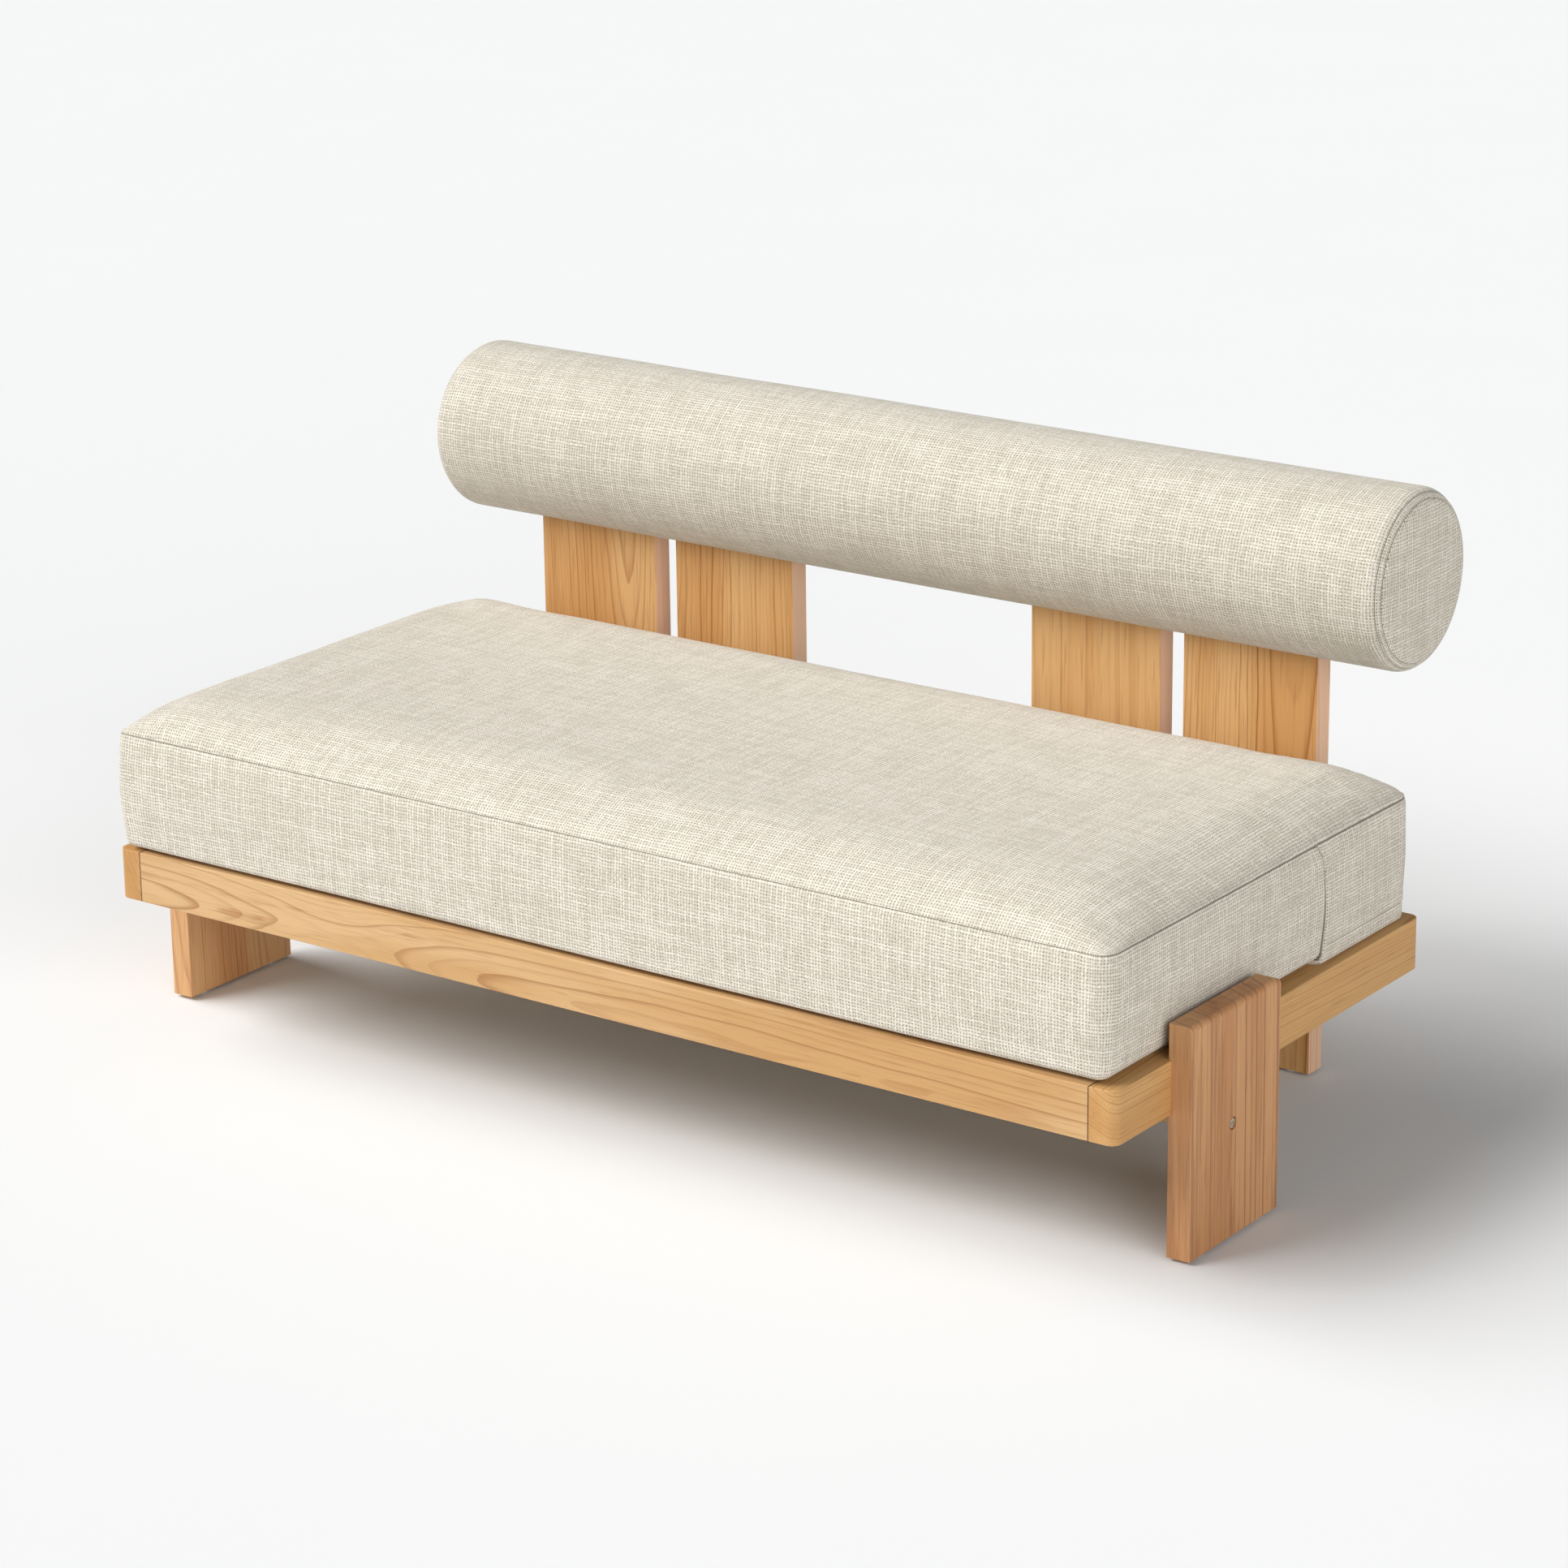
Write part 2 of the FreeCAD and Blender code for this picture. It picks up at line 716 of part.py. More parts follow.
for i, middle in enumerate(slat_middles):
    slat = board(
        f"slat_{i + 1:02d}_blank",
        ("slat_width", "slat_length", "slat_thickness"),
        (
            f"{middle} - slat_width / 2",
            "front_y + rail_thickness + slat_play",
            "slat_bottom",
        ),
    )
    drilled(f"slat_{i + 1:02d}", slat, slat_screw_holes[2 * i : 2 * i + 2])

corner = 0
for side, sign in SIDES.items():
    for end, toward in ENDS.items():
        name = f"corner_bracket_{end}_{side}"
        inner_x = "inner_length / 2"
        rail_face = RAIL_FACES[end]
        long_x = f"{inner_x} - bracket_side" if sign > 0 else f"-{inner_x}"
        thin_x = f"{inner_x} - bracket_plate" if sign > 0 else f"-{inner_x}"
        long_y = rail_face if toward > 0 else f"{rail_face} - bracket_side"
        thin_y = rail_face if toward > 0 else f"{rail_face} - bracket_plate"
        on_rail = box(
            name + "_on_rail",
            ("bracket_side", "bracket_plate", "bracket_height"),
            (long_x, thin_y, "ledger_bottom"),
        )
        on_end = box(
            name + "_on_end",
            ("bracket_plate", "bracket_side", "bracket_height"),
            (thin_x, long_y, "ledger_bottom"),
        )
        angle = joined(name + "_angle", [on_rail, on_end])
        drilled(name, angle, bracket_screw_holes[2 * corner : 2 * corner + 2])
        corner += 1

# ---- zips: built in a local frame, x along the zip, y outward from the fabric's face ----


def zip_tape(label, length, place, rotation):
    """Tape and teeth; the place is the middle of the zip, on the fabric's face."""
    tape = box(
        label + "_tape",
        (f"{length} - 0.4", "tape_thickness", "tape_width - 0.3"),
        (
            f"-({length} - 0.4) / 2",
            "-tape_sink - tape_thickness",
            "-(tape_width - 0.3) / 2",
        ),
    )
    chain = box(
        label + "_chain",
        (f"{length} - 6", "chain_rise + tape_sink", "chain_width"),
        (f"-({length} - 6) / 2", "-tape_sink", "-chain_width / 2"),
    )
    return keep(put(joined(label, [tape, chain]), place, rotation), label)


def zip_slider(label, place, rotation):
    """A slider that straddles the teeth, with two lugs and the pin that holds the pull."""
    shell = box(
        label + "_shell",
        ("slider_length", "slider_top - slider_clear", "slider_width"),
        ("-slider_length / 2", "slider_clear", "-slider_width / 2"),
    )
    channel = box(
        label + "_channel",
        ("slider_length + 2", "chain_rise + slider_play", "chain_width + 2 * slider_play"),
        ("-slider_length / 2 - 1", 0, "-chain_width / 2 - slider_play"),
    )
    lugs = [
        box(
            f"{label}_lug_{sign + 1}",
            ("lug_length", "lug_rise", "lug_thickness"),
            (
                "-lug_length / 2",
                "slider_top",
                "slider_width / 2 - lug_thickness" if sign > 0 else "-slider_width / 2",
            ),
        )
        for sign in (-1, 1)
    ]
    pin_at = (0, "slider_top + pin_rise", "-slider_width / 2")
    pin = rod(label + "_pin", "pin_radius", "slider_width", pin_at, (0, 0, 1))
    solid = joined(label + "_solid", [cut(label + "_hollow", shell, [channel])] + lugs + [pin])
    holder = doc.addObject("Part::Refine", label)
    holder.Source = solid
    return keep(put(holder, place, rotation), label)


def zip_pull(label, place, rotation):
    """A pull tab along +X from the eye that turns on the slider's pin; the place is the pin's middle."""
    half = "(slider_width / 2 - lug_thickness - eye_side_play)"
    eye = rod(label + "_eye", "eye_radius", f"2 * {half}", (0, 0, f"-{half}"), (0, 0, 1))
    plate = box(
        label + "_plate",
        ("tab_length", "tab_thickness", f"2 * {half}"),
        (0, "-tab_thickness / 2", f"-{half}"),
    )
    bore = rod(
        label + "_bore", "pin_radius + eye_play", f"2 * {half} + 2", (0, 0, f"-{half} - 1"), (0, 0, 1)
    )
    window = rod(
        label + "_window",
        f"{half} * 0.55",
        "tab_thickness + 2",
        (f"tab_length - {half} * 1.2", "-tab_thickness / 2 - 1", 0),
        (0, 1, 0),
    )
    tab = cut(label, joined(label + "_solid", [eye, plate]), [bore, window])
    return keep(put(tab, place, rotation), label)


# ---- seat cushion ----


def rounded_rectangle(half_x, half_y, radius, centre):
    """A closed wire round a centre, its corners arcs."""
    edges = []
    spots = []
    for turn in range(4):
        angle = math.pi / 2 * turn
        sign_x = 1 if turn in (0, 3) else -1
        sign_y = 1 if turn < 2 else -1
        hub = centre + Vector(sign_x * (half_x - radius), sign_y * (half_y - radius), 0)
        points = [
            hub + Vector(math.cos(angle + step), math.sin(angle + step), 0) * radius
            for step in (0, math.pi / 4, math.pi / 2)
        ]
        spots.append(points)
    for turn, points in enumerate(spots):
        edges.append(Part.Arc(*points).toShape())
        edges.append(Part.makeLine(points[2], spots[(turn + 1) % 4][0]))
    return Part.Wire(edges)


def cushion_solid(skin):
    """The cushion's form, drawn in by a skin all round."""
    half_x = number("cushion_length") / 2 - skin
    half_y = number("cushion_depth") / 2 - skin
    middle_y = number("front_y + cushion_front + cushion_depth / 2")
    bottom = number("rail_top")
    foot, draw = number("cushion_foot_round"), number("cushion_draw_in")
    seam, crown = number("cushion_seam"), number("cushion_crown") - skin
    run = number("cushion_crown_run")
    profile = []
    for step in range(4):
        angle = math.radians(30 * step)
        profile.append((skin + foot * (1 - math.cos(angle)), draw + foot * (1 - math.sin(angle))))
    profile += [(seam / 4, draw), (seam / 2, 0), (seam, 0)]
    for step in range(1, 6):
        angle = math.radians(18 * step)
        profile.append((seam + crown * math.sin(angle), run * (1 - math.cos(angle))))
    corner_at_seam = number("cushion_corner") - skin
    wires = [
        rounded_rectangle(
            half_x - inset,
            half_y - inset,
            corner_at_seam + inset * 0.5,
            Vector(0, middle_y, bottom + height),
        )
        for height, inset in profile
    ]
    return Part.makeLoft(wires, True, True)


def form(name, shape):
    item = doc.addObject("Part::Feature", name)
    item.Shape = shape
    return item


cover_inside = number("cover_thickness")
cushion_outer = form("cushion_outer", cushion_solid(0))
cushion_void = form("cushion_void", cushion_solid(cover_inside))
cushion_slot = box(
    "cushion_zip_slot",
    ("cushion_zip_length", "3 * cover_thickness", "tape_width"),
    (
        "-cushion_zip_length / 2",
        "cushion_face_y - 1.5 * cover_thickness",
        "cushion_zip_z - tape_width / 2",
    ),
)
keep(cut("cushion_cover", cushion_outer, [cushion_void, cushion_slot]), "cushion_cover")
keep(form("cushion_foam", cushion_solid(cover_inside + number("foam_gap"))), "cushion_foam")

slider_x = f"(cushion_zip_length / 2 - {ZIP_END})"
no_turn = Rotation()
zip_tape("cushion_zip", "cushion_zip_length", (0, "cushion_face_y", "cushion_zip_z"), no_turn)
zip_slider("cushion_zip_slider", (slider_x, "cushion_face_y", "cushion_zip_z"), no_turn)
pin_y = "cushion_face_y + slider_top + pin_rise"
zip_pull("cushion_zip_pull", (slider_x, pin_y, "cushion_zip_z"), no_turn)

# ---- bolster ----


def bolster_form(name, skin):
    """A round bar with rounded ends along X, drawn in by a skin all round."""
    body = padded_body(name, circle(f"bolster_radius - {skin}"), f"bolster_length - 2 * {skin}")
    rounded(body, f"bolster_edge_radius - {skin}", lambda x, y, z, edge: edge.Closed and z in (0, 1))
    place = (f"-bolster_length / 2 + {skin}", "axis_y", "bolster_axis_z")
    return put(body, place, Rotation(Vector(0, 1, 0), 90))


def pockets(name):
    """The four slots that the posts stand in, from below the bolster to the posts' tops."""
    return [
        box(
            f"{name}_{post}",
            (
                "post_width + 2 * pocket_play",
                "post_thickness + 2 * pocket_play",
                "bolster_radius + post_top - bolster_axis_z + 1",
            ),
            (
                f"{low} - pocket_play",
                "back_y - pocket_play",
                "bolster_axis_z - bolster_radius - 1",
            ),
        )
        for post, low in post_lows.items()
    ]


down_and_back = Rotation(Vector(1, 0, 0), -number("bolster_zip_angle"))


def on_bolster(x, reach):
    """A place outside the bolster's skin, on the line of its zip."""
    angle = math.radians(number("bolster_zip_angle"))
    return (
        x,
        f"axis_y + {math.cos(angle):.6f} * (bolster_radius + {reach})",
        f"bolster_axis_z - {math.sin(angle):.6f} * (bolster_radius + {reach})",
    )


bolster_slot = box(
    "bolster_zip_slot",
    ("bolster_zip_length", "3 * cover_thickness", "tape_width"),
    ("-bolster_zip_length / 2", "-1.5 * cover_thickness", "-tape_width / 2"),
)
slot_holder = joined("bolster_zip_slot_holder", [bolster_slot], "Part::Compound")
put(slot_holder, on_bolster(0, 0), down_and_back)

bolster_outer = bolster_form("bolster_outer", 0)
bolster_void = bolster_form("bolster_void", "cover_thickness")
bolster_skin = cut("bolster_skin", bolster_outer, [bolster_void])
keep(cut("bolster_cover", bolster_skin, pockets("cover_pocket") + [slot_holder]), "bolster_cover")

spine_size = ("spine_length", "spine_thickness", "spine_height")
spine_place = ("-spine_length / 2", "post_middle_y - spine_thickness / 2", "post_top")
spine = board("bolster_spine_blank", spine_size, spine_place)
spine_holes = [
    rod(
        f"spine_hole_{i}",
        "peg_radius + peg_play",
        "peg_rise + 2",
        (start[0], start[1], "post_top - 0.5"),
        (0, 0, 1),
    )
    for i, (start, _, _) in enumerate(peg_spots, start=1)
]
drilled("bolster_spine", spine, spine_holes)

foam_blank = bolster_form("bolster_foam_blank", "(cover_thickness + foam_gap)")
spine_room = box(
    "spine_room",
    [size + " + 0.6" for size in spine_size],
    [place + " - 0.3" for place in spine_place],
)
keep(cut("bolster_foam", foam_blank, pockets("foam_pocket") + [spine_room]), "bolster_foam")

bolster_slider_x = f"(bolster_zip_length / 2 - {ZIP_END})"
zip_tape("bolster_zip", "bolster_zip_length", on_bolster(0, 0), down_and_back)
zip_slider("bolster_zip_slider", on_bolster(bolster_slider_x, 0), down_and_back)
hanging = down_and_back.multiply(Rotation(Vector(0, 0, 1), 90))
zip_pull("bolster_zip_pull", on_bolster(bolster_slider_x, "slider_top + pin_rise"), hanging)

# ---- check and write ----

doc.recompute()
for item in doc.Objects:
    if {"Invalid", "Error"} & set(item.State):
        raise RuntimeError(f"{item.Name} failed to compute: {item.State}")
os.makedirs("parts", exist_ok=True)
for item in subparts:
    shape = item.Shape
    if shape.isNull() or not shape.isValid() or not shape.Solids:
        raise RuntimeError(f"{item.Label} has no valid solid")
    shape.exportStep(f"parts/{item.Label}.step")
print(f"{len(subparts)} sub-parts written")
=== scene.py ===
import math

import bmesh
import bpy
from mathutils import Matrix, Vector, kdtree, noise

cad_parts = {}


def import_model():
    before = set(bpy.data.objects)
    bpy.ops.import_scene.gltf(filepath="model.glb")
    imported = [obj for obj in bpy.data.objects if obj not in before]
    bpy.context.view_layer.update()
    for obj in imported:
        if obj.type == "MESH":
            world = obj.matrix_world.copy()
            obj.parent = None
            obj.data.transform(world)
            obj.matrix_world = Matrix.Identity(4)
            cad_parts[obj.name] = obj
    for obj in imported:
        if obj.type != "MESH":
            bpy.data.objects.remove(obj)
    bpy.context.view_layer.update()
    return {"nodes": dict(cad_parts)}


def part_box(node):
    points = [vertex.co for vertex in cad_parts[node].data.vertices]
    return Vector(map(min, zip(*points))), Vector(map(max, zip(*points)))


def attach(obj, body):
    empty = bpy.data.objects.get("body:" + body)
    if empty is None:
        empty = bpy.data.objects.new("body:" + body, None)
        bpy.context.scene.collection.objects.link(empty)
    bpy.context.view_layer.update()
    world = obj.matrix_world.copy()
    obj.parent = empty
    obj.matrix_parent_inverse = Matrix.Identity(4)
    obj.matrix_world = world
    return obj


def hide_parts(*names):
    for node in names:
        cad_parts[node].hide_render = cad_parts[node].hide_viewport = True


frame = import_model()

# Metres, in the CAD's frame: +X along the length, +Y to the back, +Z up, floor at 0.
MM = 0.001
scene = bpy.context.scene
front_face_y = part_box("front_rail")[0].y
POSTS = [f"back_post_{i}" for i in (1, 2, 3, 4)]


# ---- shared helpers ----

def spaced(stops, step):
    """Values that hit every stop and are no further apart than the step."""
    values = [stops[0]]
    for low, high in zip(stops, stops[1:]):
        count = max(1, math.ceil((high - low) / step - 1e-6))
        values += [low + (high - low) * i / count for i in range(1, count + 1)]
    return values


def smooth(value, low, high):
    share = min(1.0, max(0.0, (value - low) / (high - low)))
    return share * share * (3 - 2 * share)


def bell(distance, width):
    return math.exp(-((distance / width) ** 2))


def rounded_rise(distance, run, fullness):
    """0 at the edge and 1 from the run inwards: at fullness 2 along a quarter of an ellipse, below
    that along a gentler slope."""
    return max(0.0, 1 - (1 - min(distance, run) / run) ** 2) ** (1 / fullness)


def make_mesh(name, points, faces, weave=None, seam=None):
    """A smooth mesh; weave holds the cloth's own flat coordinates at each face corner, seam the
    strength at each point of the dark line along the seams and the flap's fold, partly the
    stitching's thread and partly painted shade."""
    mesh = bpy.data.meshes.new(name)
    mesh.from_pydata(points, [], faces)
    mesh.update()
    if weave:
        layer = mesh.attributes.new("weave", "FLOAT_VECTOR", "CORNER")
        flat = [c for corners in weave for spot in corners for c in (*spot, 0.0)]
        layer.data.foreach_set("vector", flat)
    if seam:
        layer = mesh.attributes.new("seam", "FLOAT", "POINT")
        layer.data.foreach_set("value", seam)
    mesh.polygons.foreach_set("use_smooth", [True] * len(mesh.polygons))
    piece = bpy.data.objects.new(name, mesh)
    scene.collection.objects.link(piece)
    return piece


# ---- shader helpers ----

class Shader:
    """One material's node tree, with short calls for the nodes it is built from."""

    def __init__(self, name):
        self.material = bpy.data.materials.new(name)
        self.material.use_nodes = True
        self.tree = self.material.node_tree
        self.surface = self.tree.nodes["Principled BSDF"]

    def add(self, kind, inputs=(), **settings):
        item = self.tree.nodes.new("ShaderNode" + kind)
        for key, value in settings.items():
            setattr(item, key, value)
        for key, value in dict(inputs).items():
            self.feed(item.inputs[key], value)
        return item

    def feed(self, socket, value):
        if isinstance(value, bpy.types.NodeSocket):
            self.tree.links.new(value, socket)
        elif value is not None:
            socket.default_value = value

    def math(self, operation, first, second=None, third=None):
        item = self.add("Math", {0: first, 1: second, 2: third}, operation=operation)
        return item.outputs[0]

    def vector(self, operation, first, second=None):
        item = self.add("VectorMath", {0: first, 1: second}, operation=operation)
        return item.outputs["Value" if operation == "LENGTH" else "Vector"]

    def noise(self, vector, scale, detail=2.0, rough=0.5, colour=False):
        inputs = {"Vector": vector, "Scale": scale, "Detail": detail, "Roughness": rough}
        return self.add("TexNoise", inputs).outputs["Color" if colour else 0]

    def step(self, value, low, high, out_low=0.0, out_high=1.0):
        """A smooth step of the value from low to high."""
        inputs = {"Value": value, 1: low, 2: high, 3: out_low, 4: out_high}
        return self.add("MapRange", inputs, interpolation_type="SMOOTHSTEP").outputs[0]

    def mix(self, share, first, second, blend="MIX"):
        inputs = {0: share, 6: first, 7: second}
        return self.add("Mix", inputs, data_type="RGBA", blend_type=blend).outputs[2]

    def combine(self, x, y, z=0.0):
        return self.add("CombineXYZ", {0: x, 1: y, 2: z}).outputs[0]

    def place(self):
        return self.add("TexCoord").outputs["Object"]

    def bump(self, height, strength, distance):
        inputs = {"Height": height, "Strength": strength, "Distance": distance}
        self.feed(self.surface.inputs["Normal"], self.add("Bump", inputs).outputs[0])

    def finish(self, colour, **constants):
        self.feed(self.surface.inputs["Base Color"], colour)
        for key, value in constants.items():
            self.feed(self.surface.inputs[key.replace("_", " ")], value)
        return self.material


def wash(colour, factor):
    return tuple(min(1.0, c * factor) for c in colour[:3]) + (1.0,)


# ---- wood ----

# Early wood, late wood and the tint of the broad bands, for each kind of board (linear colour).
TONES = {
    "honey": ((0.63, 0.405, 0.20, 1), (0.36, 0.165, 0.055, 1), (0.54, 0.31, 0.125, 1)),
    "deep_honey": ((0.585, 0.335, 0.13, 1), (0.35, 0.155, 0.04, 1), (0.52, 0.275, 0.095, 1)),
    "rose": ((0.585, 0.31, 0.14, 1), (0.27, 0.11, 0.048, 1), (0.50, 0.24, 0.10, 1)),
    "amber": ((0.66, 0.385, 0.16, 1), (0.36, 0.135, 0.035, 1), (0.58, 0.30, 0.105, 1)),
    "russet": ((0.64, 0.36, 0.165, 1), (0.34, 0.13, 0.045, 1), (0.56, 0.27, 0.11, 1)),
    "pale": ((0.80, 0.70, 0.56, 1), (0.62, 0.48, 0.32, 1), (0.76, 0.65, 0.50, 1)),
}


RING_SWAY, RING_RIPPLE = 0.034, 0.0042  # how far the rings wander, in broad and in small waves
RING_SHIFT = 0.019  # takes the mean of the waves back out
RIM_LINE = (0.9 * MM, 0.2 * MM)  # from the edge: where a rosy narrow side starts and is full
JOINT_SHADE_LINE = (2.2 * MM, 1.2 * MM)  # from the end: the same for the painted shade line at a rail's joint


def wood(board, tone, pith, ring, tilt=(0.0, 0.0), wave=1.0, contrast=1.0, seed=0.0,
         streaks=0.15, joint_shade=False, pink_edge=0.0, swelling=None, patch=None):
    """A board sawn from a log. The pith is placed from the board's middle, across its width and its
    thickness, and leans along its length by the tilt, so the growth rings give the grain on every
    face. A swelling (along, run, depth) bends the rings into arches; a patch (along, across, half
    length, half width) gathers the brown streaks."""
    early, late, band = TONES[tone]
    low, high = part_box(board)
    size, centre = high - low, (low + high) / 2
    thick, wide, long = sorted(range(3), key=lambda k: size[k])
    shader = Shader("wood_" + board)
    apart = shader.add("SeparateXYZ", {0: shader.place()}).outputs
    across, depth, along = (
        shader.math("SUBTRACT", apart[k], centre[k]) for k in (wide, thick, long)
    )

    def drawn_out(stretch, offset):
        """A place in the noise, drawn out along the board."""
        return shader.combine(across, depth, shader.math("MULTIPLY_ADD", along, stretch, offset))

    stretched = drawn_out(0.13, seed)
    sway = shader.noise(stretched, 9.0, 2.0, 0.5, colour=True)
    ripple = shader.noise(stretched, 55.0, 1.0, 0.5, colour=True)
    drift = shader.add("SeparateXYZ", {0: sway}).outputs
    small = shader.add("SeparateXYZ", {0: ripple}).outputs

    def from_pith(value, start, lean, axis):
        value = shader.math("SUBTRACT", value, start)
        value = shader.math("MULTIPLY_ADD", along, lean, value)
        if swelling and axis == 1:
            run = shader.math("DIVIDE", shader.math("SUBTRACT", along, swelling[0]), swelling[1])
            square = shader.math("MULTIPLY", run, run)
            bent = shader.math("EXPONENT", shader.math("MULTIPLY", square, -1.0))
            value = shader.math("MULTIPLY_ADD", bent, swelling[2], value)
        value = shader.math("MULTIPLY_ADD", drift[axis], RING_SWAY * wave, value)
        value = shader.math("MULTIPLY_ADD", small[axis], RING_RIPPLE * wave, value)
        return shader.math("SUBTRACT", value, RING_SHIFT * wave)

    from_middle = (
        from_pith(across, pith[0], tilt[0], 0), from_pith(depth, pith[1], tilt[1], 1)
    )
    reach = shader.vector("LENGTH", shader.combine(*from_middle))
    # One unit of the phase is one year: it darkens slowly and ends sharply, and years differ.
    uneven = shader.noise(shader.combine(reach, seed, seed), 24.0, 2.0)
    phase = shader.math("MULTIPLY_ADD", uneven, 4.5, shader.math("DIVIDE", reach, ring))
    share = shader.math("FRACT", phase)
    rise = shader.step(share, 0.35, 0.95)
    fall = shader.step(share, 0.965, 1.0, 1.0, 0.0)
    number = shader.math("FLOOR", phase)
    year = shader.add("TexWhiteNoise", {"W": number}, noise_dimensions="1D").outputs[0]
    depth_of_year = shader.math("MULTIPLY_ADD", shader.math("POWER", year, 1.8), 0.85, 0.15)
    dark = shader.math("MULTIPLY", shader.math("POWER", rise, 3.0), fall)
    dark = shader.math("MULTIPLY", dark, depth_of_year)

    fibre = shader.noise(drawn_out(0.018, 0.0), 1300.0, 2.0, 0.6)
    pores = shader.step(shader.noise(drawn_out(0.03, 4.0), 520.0, 0.0), 0.66, 0.76)
    broad = shader.noise(drawn_out(0.1, seed), 16.0, 2.0)
    flame = shader.noise(drawn_out(0.045, seed + 2.0), 42.0, 5.0, 0.65)
    gathered = streaks
    if patch:
        ellipse = shader.vector("LENGTH", shader.combine(
            shader.math("DIVIDE", shader.math("SUBTRACT", along, patch[0]), patch[2]),
            shader.math("DIVIDE", shader.math("SUBTRACT", across, patch[1]), patch[3]),
        ))
        near = shader.step(ellipse, 0.3, 1.2, 1.0, 0.0)
        flame = shader.math("MULTIPLY_ADD", near, 0.12, flame)
        gathered = shader.math("MULTIPLY_ADD", near, 0.4, streaks)
    late_share = shader.step(share, 0.1, 0.6, 0.45, 1.0)
    flame = shader.math("MULTIPLY", shader.step(flame, 0.54, 0.61), late_share)
    colour = shader.mix(shader.step(broad, 0.40, 0.62), early, band)
    colour = shader.mix(shader.math("MULTIPLY", flame, gathered), colour, late)
    colour = shader.mix(shader.math("MULTIPLY", dark, 0.9 * contrast), colour, late)
    colour = shader.mix(shader.math("MULTIPLY", pores, 0.28), colour, wash(late, 0.8))
    shade = shader.math("MULTIPLY_ADD", fibre, 0.22, 0.89)
    grey = shader.combine(shade, shade, shade)
    colour = shader.mix(1.0, colour, grey, "MULTIPLY")
    if pink_edge:
        half = size[wide] / 2
        from_centre = shader.math("ABSOLUTE", across)
        rim = shader.step(from_centre, half - RIM_LINE[0], half - RIM_LINE[1])
        faint = shader.math("MULTIPLY", dark, 0.6)
        rosy = shader.mix(faint, (0.74, 0.48, 0.33, 1), (0.46, 0.22, 0.14, 1))
        rosy = shader.mix(1.0, rosy, grey, "MULTIPLY")
        colour = shader.mix(shader.math("MULTIPLY", rim, pink_edge), colour, rosy)
    # Painted shade: a dark line at each end of a rail, standing in for the shade in the hairline
    # gap of its joint.
    if joint_shade:
        half = size[long] / 2
        from_centre = shader.math("ABSOLUTE", along)
        joint_shade_mask = shader.step(from_centre, half - JOINT_SHADE_LINE[0], half - JOINT_SHADE_LINE[1])
        colour = shader.mix(shader.math("MULTIPLY", joint_shade_mask, 0.9), colour, (0.07, 0.028, 0.01, 1))
    rough = shader.math("MULTIPLY_ADD", dark, -0.1, 0.56)
    relief = shader.math("MULTIPLY_ADD", fibre, 0.5, shader.math("MULTIPLY", dark, 0.8))
    relief = shader.math("MULTIPLY_ADD", pores, -0.6, relief)
    shader.bump(relief, 0.22, 0.0004)
    return shader.finish(colour, Roughness=rough, Specular_IOR_Level=0.32)


WOODS = {
    "front_rail": dict(
        tone="honey", pith=(-0.02, 0.035), ring=0.0042, tilt=(0.008, 0.002), wave=0.6,
        contrast=0.9, seed=3.1, streaks=0.35, joint_shade=True, swelling=(-0.42, 0.16, -0.016),
        patch=(-0.59, -0.019, 0.11, 0.013),
    ),
    "rear_rail": dict(
        tone="honey", pith=(-0.07, 0.05), ring=0.006, tilt=(0.03, 0.0), seed=8.4, joint_shade=True
    ),
    "end_rail_left": dict(
        tone="deep_honey", pith=(0.03, 0.09), ring=0.0055, tilt=(0.03, 0.0), seed=1.7
    ),
    "end_rail_right": dict(
        tone="deep_honey", pith=(0.09, 0.035), ring=0.0055, tilt=(0.03, 0.01), wave=0.7, seed=5.2
    ),
    "front_leg_left": dict(
        tone="russet", pith=(0.07, 0.06), ring=0.0065, tilt=(0.03, 0.03), wave=0.8, seed=2.6
    ),
    "front_leg_right": dict(
        tone="rose", pith=(0.19, 0.07), ring=0.011, tilt=(0.012, 0.01), wave=0.4, contrast=1.1,
        seed=6.3, streaks=0.4,
    ),
    "back_post_1": dict(
        tone="amber", pith=(0.05, 0.035), ring=0.006, tilt=(0.01, 0.05), wave=0.7, contrast=1.15,
        seed=4.4, pink_edge=0.8,
    ),
    "back_post_2": dict(
        tone="amber", pith=(-0.13, 0.04), ring=0.0075, tilt=(0.01, 0.03), wave=1.4, contrast=1.2,
        seed=9.9, pink_edge=0.8,
    ),
    "back_post_3": dict(
        tone="amber", pith=(0.2, 0.06), ring=0.019, tilt=(0.01, 0.02), wave=0.5, contrast=0.5,
        seed=7.7, pink_edge=0.8,
    ),
    "back_post_4": dict(
        tone="amber", pith=(0.06, 0.045), ring=0.0055, tilt=(-0.02, 0.012), wave=0.9,
        contrast=1.3, seed=5.8, pink_edge=0.8,
    ),
    "front_stretcher": dict(tone="honey", pith=(0.03, 0.06), ring=0.007, seed=3.9),
    "front_ledger": dict(tone="pale", pith=(0.03, 0.06), ring=0.007, seed=1.2),
    "rear_ledger": dict(tone="pale", pith=(-0.02, 0.05), ring=0.007, seed=2.2),
    "bolster_spine": dict(tone="pale", pith=(0.0, 0.07), ring=0.008, seed=5.5),
}


def dress(node, material):
    mesh = frame["nodes"][node].data
    mesh.materials.clear()
    mesh.materials.append(material)


for board, look in WOODS.items():
    dress(board, wood(board, **look))
for i in range(1, 13):
    slat = f"slat_{i:02d}"
    side = ((i * 37) % 11 - 5) * 0.012
    dress(slat, wood(slat, "pale", (side, 0.03 + (i % 4) * 0.02), 0.0075, seed=i * 1.37))


